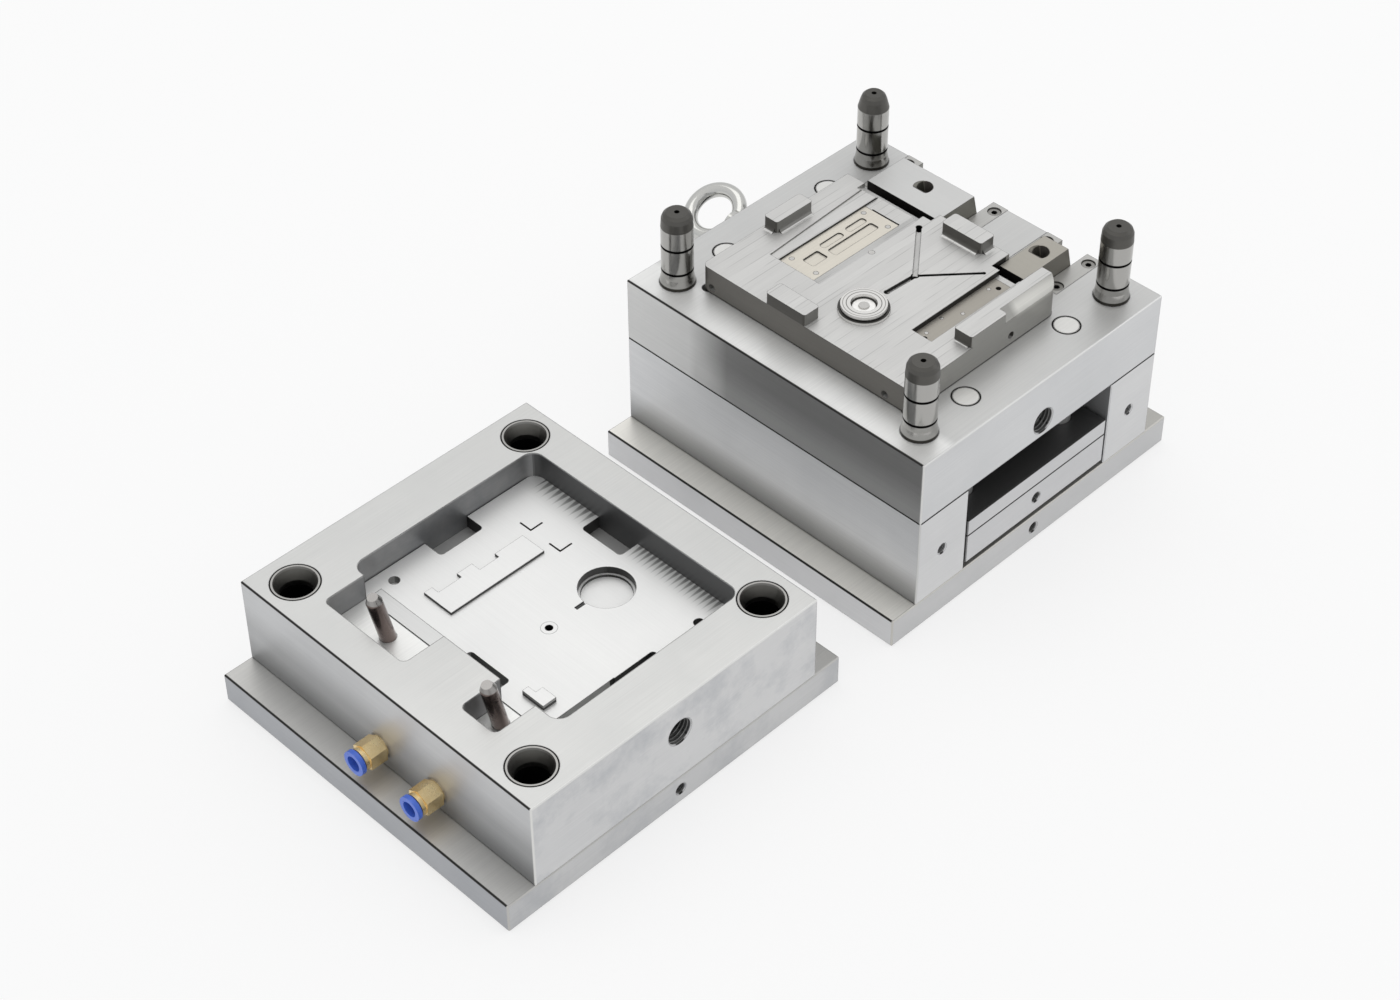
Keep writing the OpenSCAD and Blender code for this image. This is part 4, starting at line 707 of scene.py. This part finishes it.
def thread_tree():
    """Node tree that stacks rings along Z: one ring for each turn of the thread."""
    tree = bpy.data.node_groups.new("thread_rings", "GeometryNodeTree")
    for label, kind in (("Turns", "Int"), ("Pitch", "Float"), ("Bore", "Float"),
                        ("Wire", "Float"), ("Finish", "Material")):
        tree.interface.new_socket(label, in_out="INPUT", socket_type="NodeSocket" + kind)
    tree.interface.new_socket("Geometry", in_out="OUTPUT", socket_type="NodeSocketGeometry")
    t = Tree(tree)
    given = t.add("NodeGroupInput").outputs
    step = t.add("ShaderNodeCombineXYZ", Z=given["Pitch"]).outputs[0]
    line = t.add("GeometryNodeMeshLine", Count=given["Turns"], Offset=step).outputs[0]
    path = t.add("GeometryNodeCurvePrimitiveCircle", Resolution=RING_CORNERS,
                 Radius=given["Bore"]).outputs[0]
    wire = t.add("GeometryNodeCurvePrimitiveCircle", Resolution=WIRE_CORNERS,
                 Radius=given["Wire"]).outputs[0]
    ring = t.add("GeometryNodeCurveToMesh", Curve=path, Profile_Curve=wire).outputs[0]
    rings = t.add("GeometryNodeInstanceOnPoints", Points=line, Instance=ring).outputs[0]
    solid = t.add("GeometryNodeRealizeInstances", Geometry=rings).outputs[0]
    dressed = t.add("GeometryNodeSetMaterial", Geometry=solid, Material=given["Finish"])
    t.feed(t.add("NodeGroupOutput").inputs["Geometry"], dressed.outputs[0])
    return tree


def thread_mesh(tree, finish, turns, pitch, bore, wire):
    """The rings of one hole, worked out by the node tree."""
    host = put("thread_host", bpy.data.meshes.new("thread_host"))
    mod = host.modifiers.new("rings", "NODES")
    mod.node_group = tree
    values = {"Turns": turns, "Pitch": pitch, "Bore": bore, "Wire": wire, "Finish": finish}
    for item in tree.interface.items_tree:
        if item.in_out == "INPUT":
            mod[item.identifier] = values[item.name]
    host.update_tag()
    ready = host.evaluated_get(bpy.context.evaluated_depsgraph_get())
    mesh = bpy.data.meshes.new_from_object(ready)
    host.modifiers.clear()
    bpy.data.objects.remove(host)
    return mesh


def cut_threads():
    """One piece of thread rings for each body."""
    tree = thread_tree()
    # The threads are darkened with painted shade, like the insides of the holes.
    finish = steel("thread_steel", (0.16, 0.16, 0.155), (0.16, 0.16, 0.155),
                   (0.24, 0.24, 0.235), edge=0.2, broken=0.0)
    for body, holes in HOLES.items():
        joined = bmesh.new()
        for (x, y, z), way, size in holes:
            mesh = thread_mesh(tree, finish, *size)
            start = y + way * FIRST_TURN * size[1]
            turn = Matrix.Rotation(-way * math.pi / 2, 4, "X")
            mesh.transform(Matrix.Translation((x, start, z)) @ turn)
            joined.from_mesh(mesh)
            bpy.data.meshes.remove(mesh)
        whole = bpy.data.meshes.new("threads_" + body)
        joined.to_mesh(whole)
        joined.free()
        whole.materials.append(finish)
        piece = put("threads_" + body, whole)
        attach(piece, body)


cut_threads()


# Floor, world and lamps

WHITE = (1.0, 1.0, 1.0, 1.0)
PAPER = (0.86, 0.86, 0.86, 1.0)
SKY_LOW = (0.80, 0.81, 0.83, 1.0)
SKY_HIGH = (0.94, 0.94, 0.94, 1.0)
SKY_STRENGTH = 0.97
FLOOR_HALF, FLOOR_Z = 12.0, -0.0004
LAMP_AIM = (-0.1, 0.0, 0.1)


def lay_floor():
    """Pale floor that fades to white at a distance."""
    mesh = bpy.data.meshes.new("floor")
    corners = ((-1, -1), (1, -1), (1, 1), (-1, 1))
    mesh.from_pydata([(x * FLOOR_HALF, y * FLOOR_HALF, FLOOR_Z) for x, y in corners], [],
                     [(0, 1, 2, 3)])
    floor = put("floor", mesh)
    mat, t = new_material("floor_paper")
    seen = t.add("ShaderNodeLightPath").outputs
    mirrored = t.math("MAXIMUM", seen["Is Glossy Ray"], seen["Is Transmission Ray"])
    direct = t.math("MAXIMUM", seen["Is Camera Ray"], mirrored)
    paper = t.add("ShaderNodeBsdfDiffuse", Color=PAPER).outputs[0]
    glow = t.add("ShaderNodeEmission", Color=WHITE, Strength=1.0).outputs[0]
    away = t.add("ShaderNodeVectorMath", {"operation": "LENGTH"}, i0=t.place()).outputs["Value"]
    white = t.remap(away, 1.0, 2.6, 0.70, 1.0)
    blend = t.add("ShaderNodeMixShader", i0=t.times(direct, white), i1=paper, i2=glow).outputs[0]
    t.feed(t.add("ShaderNodeOutputMaterial").inputs["Surface"], blend)
    mesh.materials.append(mat)


def light_world():
    """Pale even sky, and plain white where the camera sees it."""
    world = bpy.data.worlds.new("studio")
    world.use_nodes = True
    world.node_tree.nodes.clear()
    t = Tree(world.node_tree)
    seen = t.add("ShaderNodeLightPath").outputs["Is Camera Ray"]
    z = t.parts(t.add("ShaderNodeTexCoord").outputs["Generated"])[2]
    sky = t.mix(t.remap(z, -0.1, 0.8), SKY_LOW, SKY_HIGH)
    color = t.mix(seen, sky, WHITE)
    strength = t.remap(seen, 0.0, 1.0, SKY_STRENGTH, 1.0)
    back = t.add("ShaderNodeBackground", Color=color, Strength=strength).outputs[0]
    t.feed(t.add("ShaderNodeOutputWorld").inputs["Surface"], back)
    bpy.context.scene.world = world


def hang_lamp(name, place, size, power, color):
    data = bpy.data.lights.new(name, "AREA")
    data.shape = "RECTANGLE"
    data.size, data.size_y = size
    data.energy = power
    data.color = color
    lamp = put(name, data)
    lamp.location = place
    lamp.rotation_euler = (Vector(LAMP_AIM) - Vector(place)).to_track_quat("-Z", "Y").to_euler()


place_camera()
lay_floor()
light_world()
hang_lamp("top_panel", (0.2, 0.5, 2.2), (1.8, 1.8), 8.0, (1.0, 0.995, 0.98))
hang_lamp("side_panel", (1.9, -1.6, 1.2), (1.4, 1.0), 3.0, (0.95, 0.97, 1.0))

bpy.context.scene.view_settings.view_transform = "Standard"
